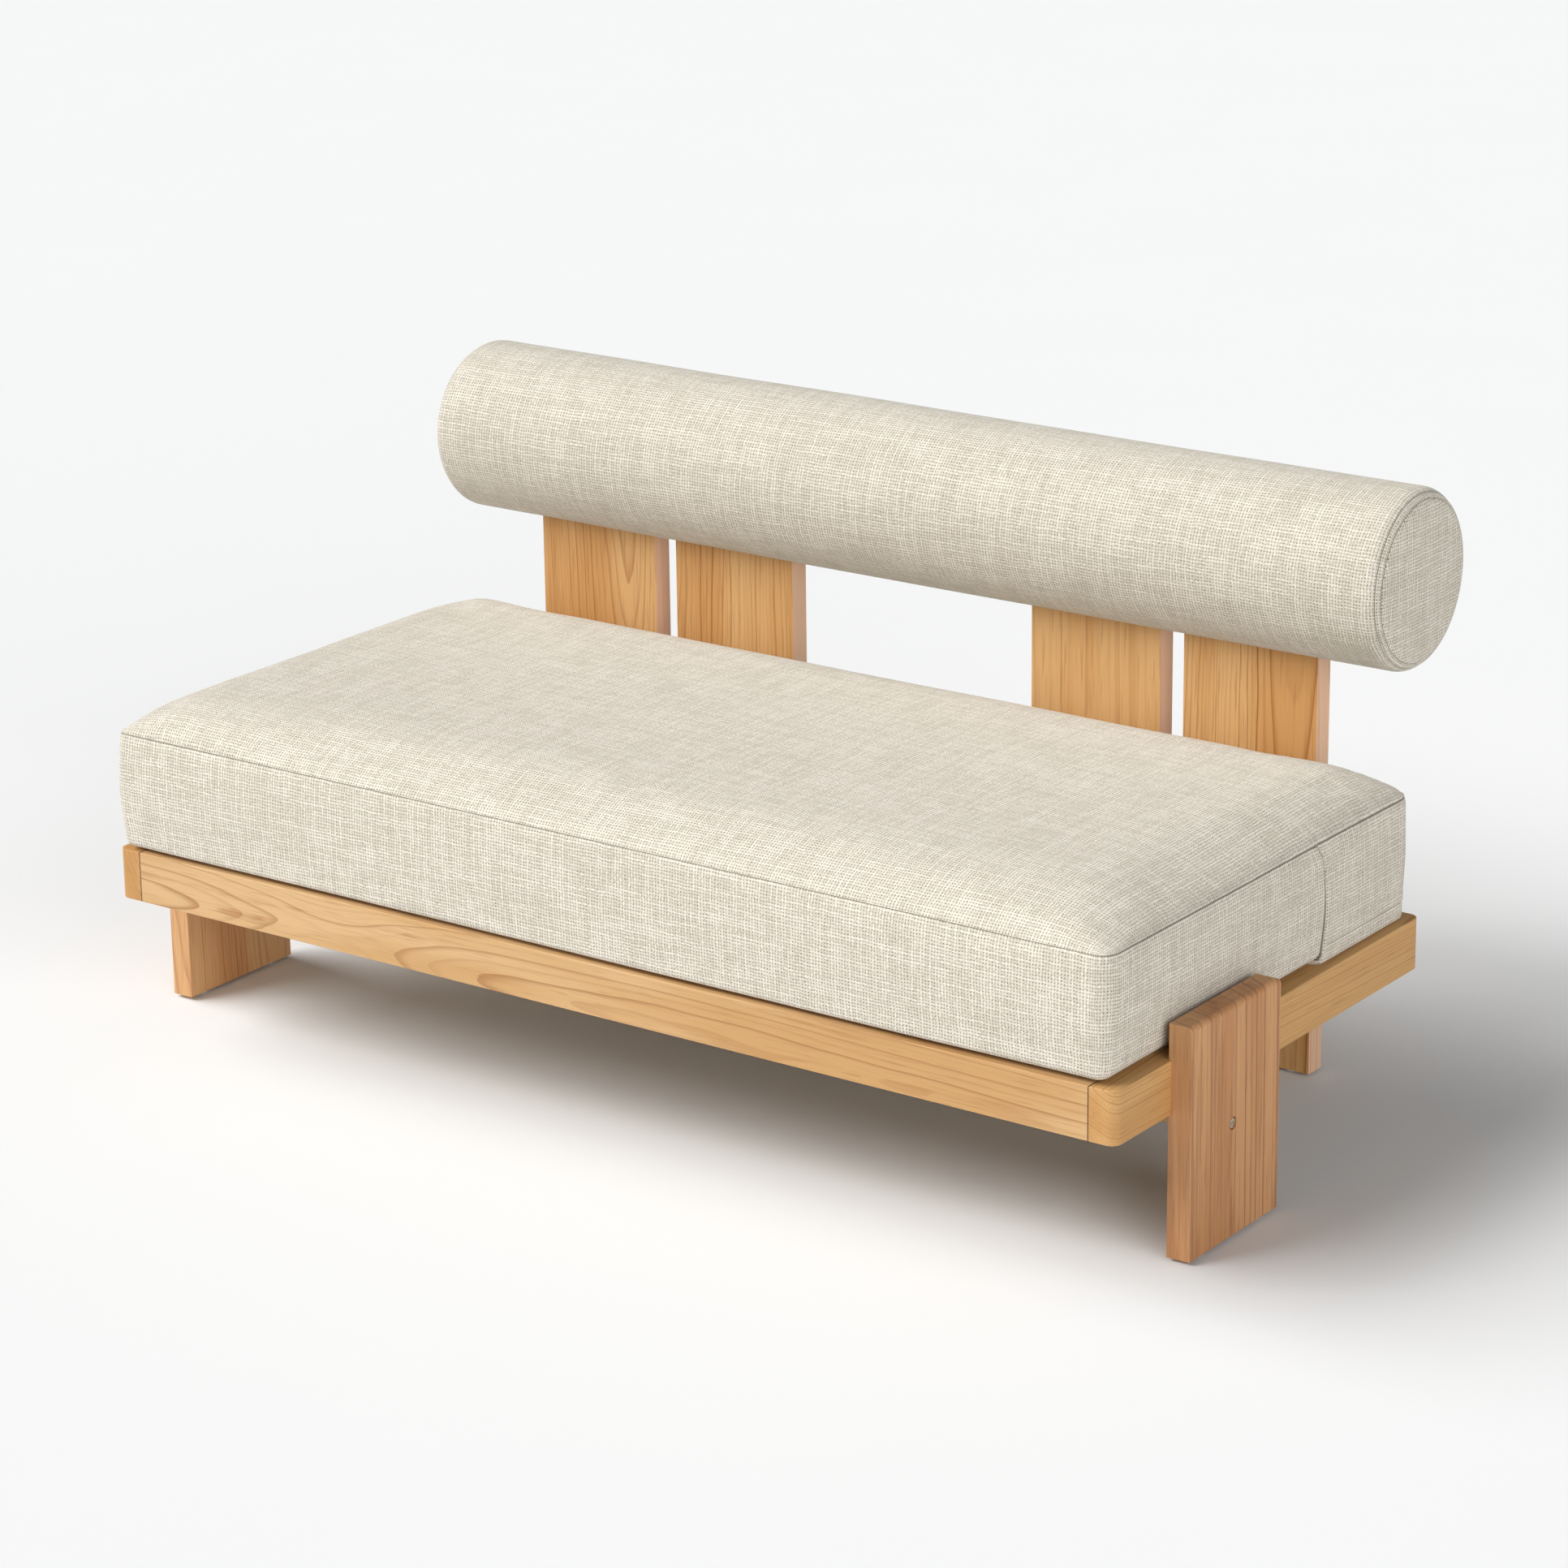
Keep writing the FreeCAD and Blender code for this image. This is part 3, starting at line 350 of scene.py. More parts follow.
def peg_wood():
    shader = Shader("wood_pegs")
    fibre = shader.noise(shader.vector("MULTIPLY", shader.place(), (30, 900, 900)), 1.0, 2.0)
    colour = shader.mix(fibre, (0.66, 0.47, 0.27, 1), (0.50, 0.32, 0.16, 1))
    shader.bump(fibre, 0.2, 0.0002)
    return shader.finish(colour, Roughness=0.6)


def metal(name, base, grime, roughness, scale):
    """Plated metal: fine turning marks and faint darker spots."""
    shader = Shader(name)
    spot = shader.place()
    marks = shader.noise(shader.vector("MULTIPLY", spot, (1.0, 1.0, 3.0)), scale, 2.0)
    cloud = shader.noise(spot, 160.0, 3.0)
    colour = shader.mix(shader.step(cloud, 0.45, 0.75), base, grime)
    rough = shader.math("MULTIPLY_ADD", marks, 0.2, roughness)
    shader.bump(marks, 0.12, 0.0001)
    return shader.finish(colour, Roughness=rough, Metallic=1.0)


def nylon():
    shader = Shader("nylon")
    grain = shader.noise(shader.place(), 900.0, 2.0)
    colour = shader.mix(grain, (0.86, 0.86, 0.84, 1), (0.76, 0.76, 0.73, 1))
    shader.bump(grain, 0.15, 0.0001)
    return shader.finish(colour, Roughness=0.45)


def foam():
    """Cut foam with open cells."""
    shader = Shader("foam")
    spot = shader.place()
    cells = shader.add("TexVoronoi", {"Vector": spot, "Scale": 700.0}).outputs["Distance"]
    cloud = shader.noise(spot, 12.0, 3.0)
    colour = shader.mix(shader.step(cells, 0.1, 0.6), (0.62, 0.55, 0.36, 1), (0.86, 0.80, 0.60, 1))
    colour = shader.mix(shader.math("MULTIPLY", cloud, 0.3), colour, (0.80, 0.70, 0.46, 1))
    shader.bump(cells, 0.5, 0.0008)
    return shader.finish(colour, Roughness=0.95)


pegs = peg_wood()
nickel = metal("satin_nickel", (0.74, 0.62, 0.46, 1), (0.46, 0.36, 0.25, 1), 0.24, 2200.0)
zinc = metal("zinc_plate", (0.62, 0.63, 0.65, 1), (0.42, 0.43, 0.44, 1), 0.3, 1500.0)
glide_plastic = nylon()
foam_material = foam()
plated = [n for n in frame["nodes"] if n.endswith("_screws") or n.startswith("corner_bracket")]
zip_metal = [f"{part}_zip_{it}" for part in ("cushion", "bolster") for it in ("slider", "pull")]
for material, nodes in (
    (pegs, ("rail_dowels", "stretcher_dowels", "bolster_pegs")),
    (nickel, ("leg_bolts", "post_bolts", *zip_metal)),
    (zinc, ("leg_barrel_nuts", "post_inserts", *plated)),
    (glide_plastic, ("front_glides", "rear_glides")),
    (foam_material, ("cushion_foam", "bolster_foam")),
):
    for node in nodes:
        dress(node, material)


# ---- cloth ----

THREAD = 4.4 * MM  # from one yarn to the next


def linen(name, tone):
    """A heavy plain weave: cream yarns both ways, each a little uneven in shade, with small darker
    gaps between them."""
    shader = Shader(name)
    flat = shader.add("Attribute", attribute_name="weave").outputs["Vector"]
    wander = shader.add("SeparateXYZ", {0: shader.noise(flat, 45.0, 2.0, colour=True)}).outputs
    apart = shader.add("SeparateXYZ", {0: flat}).outputs

    def counted(k):
        """Yarns counted along one direction of the cloth, wandering a little."""
        drift = shader.math("MULTIPLY", wander[k], 0.9)
        return shader.math("MULTIPLY_ADD", apart[k], 1 / THREAD, drift)

    warp, weft = counted(0), counted(1)

    def yarn(across, along, seed):
        """How near a point is to the yarn's middle, and how light that yarn is there."""
        wave = shader.math("SINE", shader.math("MULTIPLY", across, math.pi))
        middle = shader.math("ABSOLUTE", wave)
        lane = shader.math("MULTIPLY_ADD", shader.math("FLOOR", across), 7.31, seed)
        slub = shader.combine(lane, shader.math("MULTIPLY", along, 0.06), seed)
        return middle, shader.noise(slub, 1.0, 2.0, 0.7)

    warp_middle, warp_shade = yarn(warp, weft, 3.7)
    weft_middle, weft_shade = yarn(weft, warp, 11.3)
    signs = []
    for value in (warp, weft):
        wave = shader.math("SINE", shader.math("MULTIPLY", value, math.pi))
        signs.append(shader.math("SIGN", wave))
    turn = shader.math("MULTIPLY", *signs)
    warp_height = shader.math("MULTIPLY_ADD", turn, 0.12, warp_middle)
    weft_height = shader.math("MULTIPLY_ADD", turn, -0.12, weft_middle)
    height = shader.math("MAXIMUM", warp_height, weft_height)
    on_warp = shader.math("GREATER_THAN", warp_height, weft_height)
    shade_here = shader.add("Mix", {0: on_warp, 2: weft_shade, 3: warp_shade}).outputs[0]

    fuzz = shader.noise(flat, 1100.0, 3.0, 0.7)
    grain = shader.noise(flat, 300.0, 2.0, 0.6)
    cloud = shader.noise(flat, 9.0, 3.0, 0.6)
    openness = shader.noise(flat, 170.0, 2.0, 0.6)
    # A tone below 1 darkens the whole cloth as painted shade.
    dim, light = wash((0.585, 0.535, 0.445), tone), wash((0.755, 0.70, 0.61), tone)
    colour = shader.mix(shader.step(shade_here, 0.33, 0.67), dim, light)
    gap = shader.step(height, 0.36, 0.93, 1.0, 0.0)
    gap = shader.math("MULTIPLY", gap, shader.step(openness, 0.3, 0.7, 0.5, 1.0))
    colour = shader.mix(gap, colour, (0.16, 0.135, 0.092, 1))
    shade = shader.math("MULTIPLY_ADD", fuzz, 0.22, 0.87)
    shade = shader.math("MULTIPLY_ADD", cloud, 0.05, shade)
    shade = shader.math("SUBTRACT", shade, 0.08)
    shade = shader.math("MULTIPLY_ADD", shader.step(grain, 0.3, 0.7), 0.16, shade)
    colour = shader.mix(1.0, colour, shader.combine(shade, shade, shade), "MULTIPLY")
    # The dark line: partly the stitching's thread, partly painted shade of the seam's groove and of
    # the flap's fold.
    seam = shader.add("Attribute", attribute_name="seam").outputs["Fac"]
    line = shader.step(seam, 0.42, 0.95)
    colour = shader.mix(shader.math("MULTIPLY", line, 0.82), colour, (0.085, 0.067, 0.045, 1))
    relief = shader.math("MULTIPLY_ADD", fuzz, 0.25, height)
    relief = shader.math("MULTIPLY_ADD", line, -1.5, relief)
    shader.bump(relief, 0.45, 0.0008)
    return shader.finish(
        colour, Roughness=0.92, Sheen_Weight=0.15, Sheen_Roughness=0.5, Specular_IOR_Level=0.2
    )


seat_linen = linen("linen_seat", 1.0)
# The bolster's cloth is the seat's cloth; its tone of 0.94 is painted shade, darkening this copy
# for the light it gets.
bolster_linen = linen("linen_bolster_shaded", 0.94)


# ---- seat cushion ----

cushion_low, cushion_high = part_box("cushion_cover")
CUSHION_HALF = ((cushion_high.x - cushion_low.x) / 2, (cushion_high.y - cushion_low.y) / 2)
CUSHION_MIDDLE_Y = (cushion_low.y + cushion_high.y) / 2
SEAM_RISE = 166 * MM
SEAM_PULL, SEAM_PULL_RUN = 1.7 * MM, 4 * MM  # how far the seam draws the cloth in, and how near
CROWN = 43 * MM
CROWN_RUN = 107 * MM
SLACK_RUN = 150 * MM  # the crown's run where the cover is slack
DOME = 5 * MM
SIDE_RIPPLE, TOP_RIPPLE = 0.9 * MM, 1.4 * MM
PLAN_CORNERS = {-1: 13 * MM, 1: 25 * MM}  # left and right
CORNER_ROOM = 90 * MM  # from a corner, where the grid gives way to its rounding
END_SEAM_Y = front_face_y + 505 * MM
END_SEAM_AT = END_SEAM_Y - CUSHION_MIDDLE_Y  # the same from the cushion's middle
FLAP_RISE = 24 * MM
# Grid stops: beside a seam, along the crown's edge in degrees, and up the lower edge in mm.
SEAM_PITS = [d * MM for d in (-12, -6, -3, -1.3, 0, 1.3, 3, 6, 12)]
CROWN_STOPS = (0, 5, 10, 16, 22, 28, 35, 43, 52, 62, 74, 90)
FINE_FOOT_STOPS = (0, 1, 2.5, 4.2, 5.2, 6, 6.4, 7.2, 8.6, 10.8, 13.5, 17, 21)
COARSE_FOOT_STOPS = (0, 2.5, 5, 6, 8, 13, 20, 26)
SKIN_STEP, CORE_STEP = 9 * MM, 22 * MM
CORE_DEPTH = 8 * MM  # the core is drawn in this far
LIP = 0.8 * MM  # width of the step beside a zip
zip_low, zip_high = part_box("cushion_zip")
ZIP_RISE = (zip_low.z + zip_high.z) / 2 - cushion_low.z
ZIP_HALF_WIDTH = 6 * MM
ZIP_SINK = 2.6 * MM
# The simulation: its frames and pressure, the most it moves a point, and the heights above the
# underside below which the cloth is held and above which it is free.
TRIAL_FRAMES, TRIAL_PRESSURE, TRIAL_CAP = 14, 3.0, 4 * MM
HELD_RISE = (12 * MM, 45 * MM)
# The lower edge: its radius, how far the side is drawn in above it, how high it stands off the
# rail and how far in from there the underside comes down.
REAR_FOOT = (10 * MM, 1.5 * MM, 0.5 * MM, 2 * MM)
FLAP_FOOT = (6 * MM, 0.5 * MM, 0.3 * MM, 2 * MM)
RIGHT_END_FOOT = (16 * MM, 4 * MM, 5 * MM, 30 * MM)
LEFT_END_FOOT = (9 * MM, 0.0, 5 * MM, 30 * MM)


def end_seam_bend(rise):
    """How far back the end's upright seam runs at a height above the cushion's underside."""
    share = min(1.0, max(0.0, rise / SEAM_RISE))
    forward = 11 * MM * smooth(rise, SEAM_RISE - 28 * MM, SEAM_RISE)
    return 8 * MM * math.sin(math.pi * share ** 0.8) - forward


def crown_share_x(x, y=0.0):
    """How much of the crown is reached at x. The end on the right is slack towards the front."""
    slack = 1 - 0.85 * smooth(y, -0.12, 0.23) if x > 0 else 0.0
    run = CROWN_RUN + (SLACK_RUN - CROWN_RUN) * slack
    return rounded_rise(CUSHION_HALF[0] - abs(x), run, 2 - 0.4 * slack)


def crown_share_y(y, x=0.0):
    """The same at y. The front is slack away from the left end."""
    slack = smooth(CUSHION_HALF[0] + x, 0, 0.35) if y < 0 else 0.0
    run = CROWN_RUN + (SLACK_RUN - CROWN_RUN) * slack
    return rounded_rise(CUSHION_HALF[1] - abs(y), run, 2 - 0.4 * slack)


def plan_point(x, y, inset_x=0.0, inset_y=0.0):
    """A point of the unrounded rectangle moved onto the rounded one, drawn in from each side by its
    inset, and which way is out there. Where the insets outgrow the corner's rounding, the corner
    moves in too."""
    corner = PLAN_CORNERS[-1 if x < 0 else 1]
    hub_x, hub_y = CUSHION_HALF[0] - corner, CUSHION_HALF[1] - corner
    radius = max(4 * MM, corner - max(inset_x, inset_y))
    shift_x, shift_y = inset_x + radius - corner, inset_y + radius - corner
    a, b = (abs(x) - hub_x) / corner, (abs(y) - hub_y) / corner
    sign_x, sign_y = math.copysign(1, x), math.copysign(1, y)
    if a <= 0 or b <= 0:
        near_x = max(0.0, 1 - max(0.0, hub_x - abs(x)) / CORNER_ROOM)
        near_y = max(0.0, 1 - max(0.0, hub_y - abs(y)) / CORNER_ROOM)
        if a > b:
            return x - sign_x * inset_x, y - sign_y * shift_y * near_y, (sign_x, 0.0)
        return x - sign_x * shift_x * near_x, y - sign_y * inset_y, (0.0, sign_y)
    round_a, round_b = a * math.sqrt(1 - b * b / 2), b * math.sqrt(1 - a * a / 2)
    length = math.hypot(round_a, round_b)
    return (
        sign_x * (hub_x - shift_x + radius * round_a),
        sign_y * (hub_y - shift_y + radius * round_b),
        (sign_x * round_a / length, sign_y * round_b / length),
    )


def foot(x, y, out):
    """The lower edge's four measures at a point whose side faces along out."""
    on_end = out[0] ** 2
    if y > 0.4 * CUSHION_HALF[1] and on_end < 0.5:
        return REAR_FOOT
    behind = smooth(y + CUSHION_MIDDLE_Y, END_SEAM_Y - 2 * MM, END_SEAM_Y + 2 * MM)
    toward_corner = smooth(abs(x), CUSHION_HALF[0] - 0.30, CUSHION_HALF[0] - 0.04)
    if x < 0:
        front = (9 * MM, 1.5 * MM - 1.5 * MM * toward_corner, 5 * MM, 34 * MM)
        end = LEFT_END_FOOT
    else:
        front = (9 * MM + 4 * MM * toward_corner, 1.5 * MM, 5 * MM, 34 * MM)
        end = RIGHT_END_FOOT
    return tuple(
        at_front * (1 - on_end) + (at_end * (1 - behind) + at_flap * behind) * on_end
        for at_front, at_end, at_flap in zip(front, end, FLAP_FOOT)
    )


def corner_bulge(rise, x, y):
    """How far the front corner on the left swells out over the rail."""
    if x > 0:
        return 0.0
    here = smooth(-y, 250 * MM, 335 * MM)
    out = 2 * MM + 6 * MM * smooth(rise, 0, 60 * MM)
    return here * out * (1 - 0.5 * smooth(rise, 115 * MM, SEAM_RISE))


def side_inset(rise, x, y, out):
    """How far inside the widest outline the side lies at a height above the underside."""
    radius, drawn, lift, under = foot(x, y, out)
    at = min(max(rise - lift, 0.0), radius)
    inset = radius - math.sqrt(max(0.0, radius * radius - (radius - at) ** 2))
    inset += under * (1 - min(rise, lift) / lift)
    inset += drawn * (1 - smooth(rise, 0, SEAM_RISE))
    inset -= 2.2 * MM * math.sin(math.pi * smooth(rise, 0, SEAM_RISE))
    inset += SEAM_PULL * bell(SEAM_RISE - rise, SEAM_PULL_RUN)
    inset -= corner_bulge(rise, x, y) * out[0] ** 2
    if abs(out[0]) > 0.7:
        # The end's upright seam: its pit, the swelling before it and the notch at its foot.
        gone = y - END_SEAM_AT
        inset += 2.4 * MM * bell(gone, 2.2 * MM) * smooth(rise, 0, 20 * MM)
        inset -= 1.6 * MM * bell(gone + 8 * MM, 7 * MM)
        inset += 6 * MM * bell(gone + 1 * MM, 5 * MM) * (1 - smooth(rise, 2 * MM, 16 * MM))
        if gone > 0:
            inset += flap_step(rise) * smooth(gone, 2 * MM, 12 * MM)
    elif y > 0:
        inset += zip_valley(rise, x)
        if abs(x) > zip_high.x:
            inset += flap_step(rise)
    return inset


def flap_step(rise):
    """The band below the flap's fold lies a little behind it."""
    fold = 1.5 * MM * bell(rise - FLAP_RISE, 1.6 * MM)
    return fold - 0.8 * MM * bell(rise - FLAP_RISE - 5 * MM, 4 * MM)


def zip_valley(rise, x):
    """The sunk strip of the back that holds the zip."""
    level = abs(rise - ZIP_RISE) < ZIP_HALF_WIDTH + 0.1 * MM
    return ZIP_SINK if level and abs(x) < zip_high.x + 0.1 * MM else 0.0


def cushion_grid(step, fine):
    """The grid's stops along X and Y, from the cushion's middle, and up its sides. The fine grid
    also follows the pits beside the seams, the flap's fold and the zip."""
    half_x, half_y = CUSHION_HALF
    edge = [CROWN_RUN * (1 - math.cos(math.radians(a))) for a in CROWN_STOPS]
    pits = SEAM_PITS if fine else [0]
    x_stops = [half_x - d for d in edge]
    y_stops = [half_y - d for d in edge]
    y_stops = [-v for v in y_stops] + y_stops + [END_SEAM_AT + d for d in pits]
    rises = [v * MM for v in (FINE_FOOT_STOPS if fine else COARSE_FOOT_STOPS)]
    rises += [SEAM_RISE + d for d in pits if d <= 0]
    if fine:
        x_stops += [zip_high.x, zip_high.x + LIP]
        rises += [FLAP_RISE + d * MM for d in (-2.4, -1.2, 0, 1.2, 2.4)]
        rises += [ZIP_RISE - ZIP_HALF_WIDTH, ZIP_RISE + ZIP_HALF_WIDTH]
        rises += [ZIP_RISE - ZIP_HALF_WIDTH - LIP, ZIP_RISE + ZIP_HALF_WIDTH + LIP]
    x_stops += [-v for v in x_stops]
    return tuple(
        spaced(sorted({round(v, 6) for v in stops}), step) for stops in (x_stops, y_stops, rises)
    )


def cushion_surface(step, fine):
    """Points, faces, cloth coordinates and seam strengths of the cushion, as a box-shaped grid of
    quads laid over the rounded form. The seam strengths set the dark line of stitching and painted
    shade."""
    half_x, half_y = CUSHION_HALF
    xs, ys, rises = cushion_grid(step, fine)
    last = (len(xs) - 1, len(ys) - 1, len(rises) - 1)
    points, seams, index = [], [], {}

    def undulate(x, y, z, amount):
        return amount * noise.noise(Vector((x * 5.0, y * 6.5, z * 7.0)) + Vector((4.1, 7.7, 1.3)))

    def vertex(i, j, k):
        key = (i, j, k)
        if key in index:
            return index[key]
        x0, y0, rise = xs[i], ys[j], rises[k]
        strength = 0.0
        if 0 < i < last[0] and 0 < j < last[1]:
            point = bottom_point(x0, y0) if k == 0 else top_point(x0, y0)
        else:
            ripple = undulate(x0, y0, rise, SIDE_RIPPLE) * smooth(rise, 0, 8 * MM)
            inset_x = side_inset(rise, x0, y0, (math.copysign(1, x0), 0.0)) - ripple
            inset_y = side_inset(rise, x0, y0, (0.0, math.copysign(1, y0))) - ripple
            x, y, out = plan_point(x0, y0, inset_x, inset_y)
            if abs(out[0]) > 0.9:
                y += end_seam_bend(rise) * bell(y0 - END_SEAM_AT, 45 * MM)
            # The dark line's strength: stitching and painted shade along the seams, painted shade
            # alone along the flap's fold.
            strength = bell(rise - SEAM_RISE, 2 * MM) * (0.85 + 0.15 * abs(out[0]))
            if abs(out[0]) > 0.9 and rise > 6 * MM:
                strength = max(strength, bell(y0 - END_SEAM_AT, 2 * MM))
            if abs(out[0]) > 0.5:
                on_flap = y0 > END_SEAM_AT + 7 * MM
            else:
                on_flap = y0 > 0 and abs(x0) > zip_high.x
            if on_flap and abs(rise - FLAP_RISE) < 0.1 * MM:
                strength = 1.0
            point = (x, y, rise)
        index[key] = len(points)
        points.append((point[0], point[1] + CUSHION_MIDDLE_Y, point[2] + cushion_low.z))
        seams.append(strength)
        return index[key]

    def bottom_point(x0, y0):
        x, y, _ = plan_point(x0, y0)
        tuck_x, tuck_y = (
            radius + drawn + under
            for radius, drawn, _, under in (foot(x0, y0, (1.0, 0.0)), foot(x0, y0, (0.0, 1.0)))
        )
        x -= math.copysign(tuck_x * max(0.0, 1 - (half_x - abs(x0)) / CORNER_ROOM), x)
        y -= math.copysign(tuck_y * max(0.0, 1 - (half_y - abs(y0)) / CORNER_ROOM), y)
        return x, y, 0.0

    def top_point(x0, y0):
        x, y, _ = plan_point(x0, y0)
        reach_x, reach_y = half_x - abs(x0), half_y - abs(y0)
        rise = CROWN * crown_share_x(x0, y0) * crown_share_y(y0, x0)
        rise += DOME * (1 - (x0 / half_x) ** 2) * (1 - (y0 / half_y) ** 2)
        near = min(reach_x, reach_y)
        rise += undulate(x0, y0, 0.3, TOP_RIPPLE) * smooth(near, 0, 60 * MM)
        pull = SEAM_PULL * bell(near, SEAM_PULL_RUN)
        x -= math.copysign(pull, x) if reach_x < reach_y else 0
        x -= corner_bulge(SEAM_RISE, x0, y0) * (1 - smooth(reach_x, 0, 80 * MM))
        y -= math.copysign(pull, y) if reach_y <= reach_x else 0
        return x, y, SEAM_RISE + rise

    faces, weave = [], []

    def quad(corners, spots):
        faces.append([vertex(*c) for c in corners])
        weave.append(spots)

    def run_lengths(values, height):
        total, lengths = 0.0, [0.0]
        for a, b in zip(values, values[1:]):
            total += math.hypot(b - a, height(b) - height(a))
            lengths.append(total)
        return lengths

    top_u = run_lengths(xs, lambda x: CROWN * crown_share_x(x))
    top_v = run_lengths(ys, lambda y: CROWN * crown_share_y(y))
    for i in range(last[0]):
        for j in range(last[1]):
            spots = [(xs[i], ys[j]), (xs[i], ys[j + 1]), (xs[i + 1], ys[j + 1]), (xs[i + 1], ys[j])]
            quad([(i, j, 0), (i, j + 1, 0), (i + 1, j + 1, 0), (i + 1, j, 0)], spots)
            ring = [(i, j), (i + 1, j), (i + 1, j + 1), (i, j + 1)]
            quad([(a, b, last[2]) for a, b in ring], [(top_u[a], top_v[b]) for a, b in ring])

    loop = [(i, 0) for i in range(last[0])] + [(last[0], j) for j in range(last[1])]
    loop += [(i, last[1]) for i in range(last[0], 0, -1)] + [(0, j) for j in range(last[1], 0, -1)]
    girth = 0.0
    for (i, j), (a, b) in zip(loop, loop[1:] + loop[:1]):
        ahead = girth + math.hypot(xs[a] - xs[i], ys[b] - ys[j])
        for k in range(last[2]):
            low, high = rises[k], rises[k + 1]
            spots = [(girth, low), (ahead, low), (ahead, high), (girth, high)]
            quad([(i, j, k), (a, b, k), (a, b, k + 1), (i, j, k + 1)], spots)
        girth = ahead
    return points, faces, weave, seams


def swell(points, rest, after, cap):
    """Moves points as a simulated cloth of the same form moved, each by at most the cap."""
    tree = kdtree.KDTree(len(rest))
    moves = []
    for i, (a, b) in enumerate(zip(rest, after)):
        tree.insert(a, i)
        move = b - a
        length = move.length
        moves.append(move * (cap * math.tanh(length / cap) / length) if length > 1e-9 else move)
    tree.balance()
    moved = []
    for point in points:
        total, weight = Vector(), 0.0
        for spot, i, distance in tree.find_n(point, 5):
            w = 1 / (distance * distance + 9e-6)
            total += moves[i] * w
            weight += w
        moved.append(Vector(point) + total / weight)
    return moved


def inflate(name, points, faces, held):
    """Cloth simulation of a closed form held along its seams: its points at rest and after."""
    piece = make_mesh(name, points, faces)
    group = piece.vertex_groups.new(name="held")
    for i, weight in enumerate(held):
        if weight > 0:
            group.add([i], weight, "REPLACE")
    cloth = piece.modifiers.new("cloth", "CLOTH")
    settings = cloth.settings
    settings.quality = 4
    settings.mass = 0.4
    settings.tension_stiffness = settings.compression_stiffness = 30
    settings.shear_stiffness = 12
    settings.bending_stiffness = 4
    settings.use_pressure = True
    settings.uniform_pressure_force = TRIAL_PRESSURE
    settings.vertex_group_mass = "held"
    settings.effector_weights.gravity = 0
    cloth.collision_settings.use_collision = False
    cloth.point_cache.frame_end = TRIAL_FRAMES
    for number in range(1, TRIAL_FRAMES + 1):
        scene.frame_set(number)
    graph = bpy.context.evaluated_depsgraph_get()
    result = piece.evaluated_get(graph).to_mesh()
    after = [v.co.copy() for v in result.vertices]
    rest = [Vector(p) for p in points]
    bpy.data.objects.remove(piece)
    scene.frame_set(1)
    return rest, after


def core_form(points, depth):
    """The cushion's form drawn towards its middle by a depth on every side."""
    half_height = SEAM_RISE / 2 + CROWN / 2
    middle = Vector((0, CUSHION_MIDDLE_Y, cushion_low.z + half_height))
    scale = Vector([1 - depth / half for half in (*CUSHION_HALF, half_height)])
    return [middle + (Vector(p) - middle) * scale for p in points]


def seat_cushion():
    points, faces, weave, seams = cushion_surface(SKIN_STEP, fine=True)
    core_points, core_faces, _, core_seams = cushion_surface(CORE_STEP, fine=False)
    held = [
        max(seam, 1 - smooth(point[2] - cushion_low.z, *HELD_RISE))
        for point, seam in zip(core_points, core_seams)
    ]
    rest, after = inflate("cushion_trial", core_points, core_faces, held)
    points = swell(points, rest, after, TRIAL_CAP)
    piece = make_mesh("seat_cushion_linen", points, faces, weave, seams)
    piece.data.materials.append(seat_linen)
    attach(piece, "seat_cushion")
    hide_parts("cushion_cover")
    core = make_mesh("seat_cushion_core", core_form(core_points, CORE_DEPTH), core_faces)
    core.data.materials.append(foam_material)
    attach(core, "seat_cushion")
    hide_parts("cushion_foam")


seat_cushion()


# ---- bolster ----

bolster_low, bolster_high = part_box("bolster_cover")
AXIS = Vector((0, (bolster_low.y + bolster_high.y) / 2, (bolster_low.z + bolster_high.z) / 2))
BOLSTER_RADIUS = (bolster_high.z - bolster_low.z) / 2
BOLSTER_HALF = (bolster_high.x - bolster_low.x) / 2
RIM = 24 * MM
RIM_SEAMS = (40, 62)  # degrees round the rim, from the tube to the end disc
DISC_DOME = 3.5 * MM
DISC_RINGS = (0.94, 0.87, 0.78, 0.68, 0.58, 0.48, 0.38, 0.28, 0.19, 0.11, 0.05)
COVER = 1.6 * MM
SLOT_PLAY = 2 * MM
TURN_STEP = 4.6 * MM  # round the tube, between the grid's lines
BOLSTER_ZIP_ANGLE = math.radians(60)


def bolster_profile():
    """Distance in from the end, radius, cloth length round the rim, seam strength (of the dark
    line, partly thread and partly painted shade) and whether the end disc's cloth starts there,
    from the tube's last ring to the disc's smallest."""
    first, second = RIM_SEAMS
    stops = [0, *(first + d for d in (-6, -3, 0, 3)), *(second + d for d in (-3, 0, 3, 6)), 90]
    rings = []
    for degrees in spaced(stops, 7):
        angle = math.radians(degrees)
        near = min(abs(degrees - seam) for seam in RIM_SEAMS)
        pit = 1.1 * MM * bell(near, 2.4)
        band = 0.7 * MM * bell(degrees - sum(RIM_SEAMS) / 2, 6)
        radius = BOLSTER_RADIUS - RIM + (RIM - pit + band) * math.cos(angle)
        inset = RIM - (RIM - pit + band) * math.sin(angle)
        seam = 1.0 if near < 0.1 else 0.0
        rings.append((inset, radius, RIM * angle, seam, degrees > second - 0.1))
    flat = BOLSTER_RADIUS - RIM
    for share in DISC_RINGS:
        rings.append((-DISC_DOME * (1 - share * share), flat * share, 0.0, 0.0, True))
    return rings


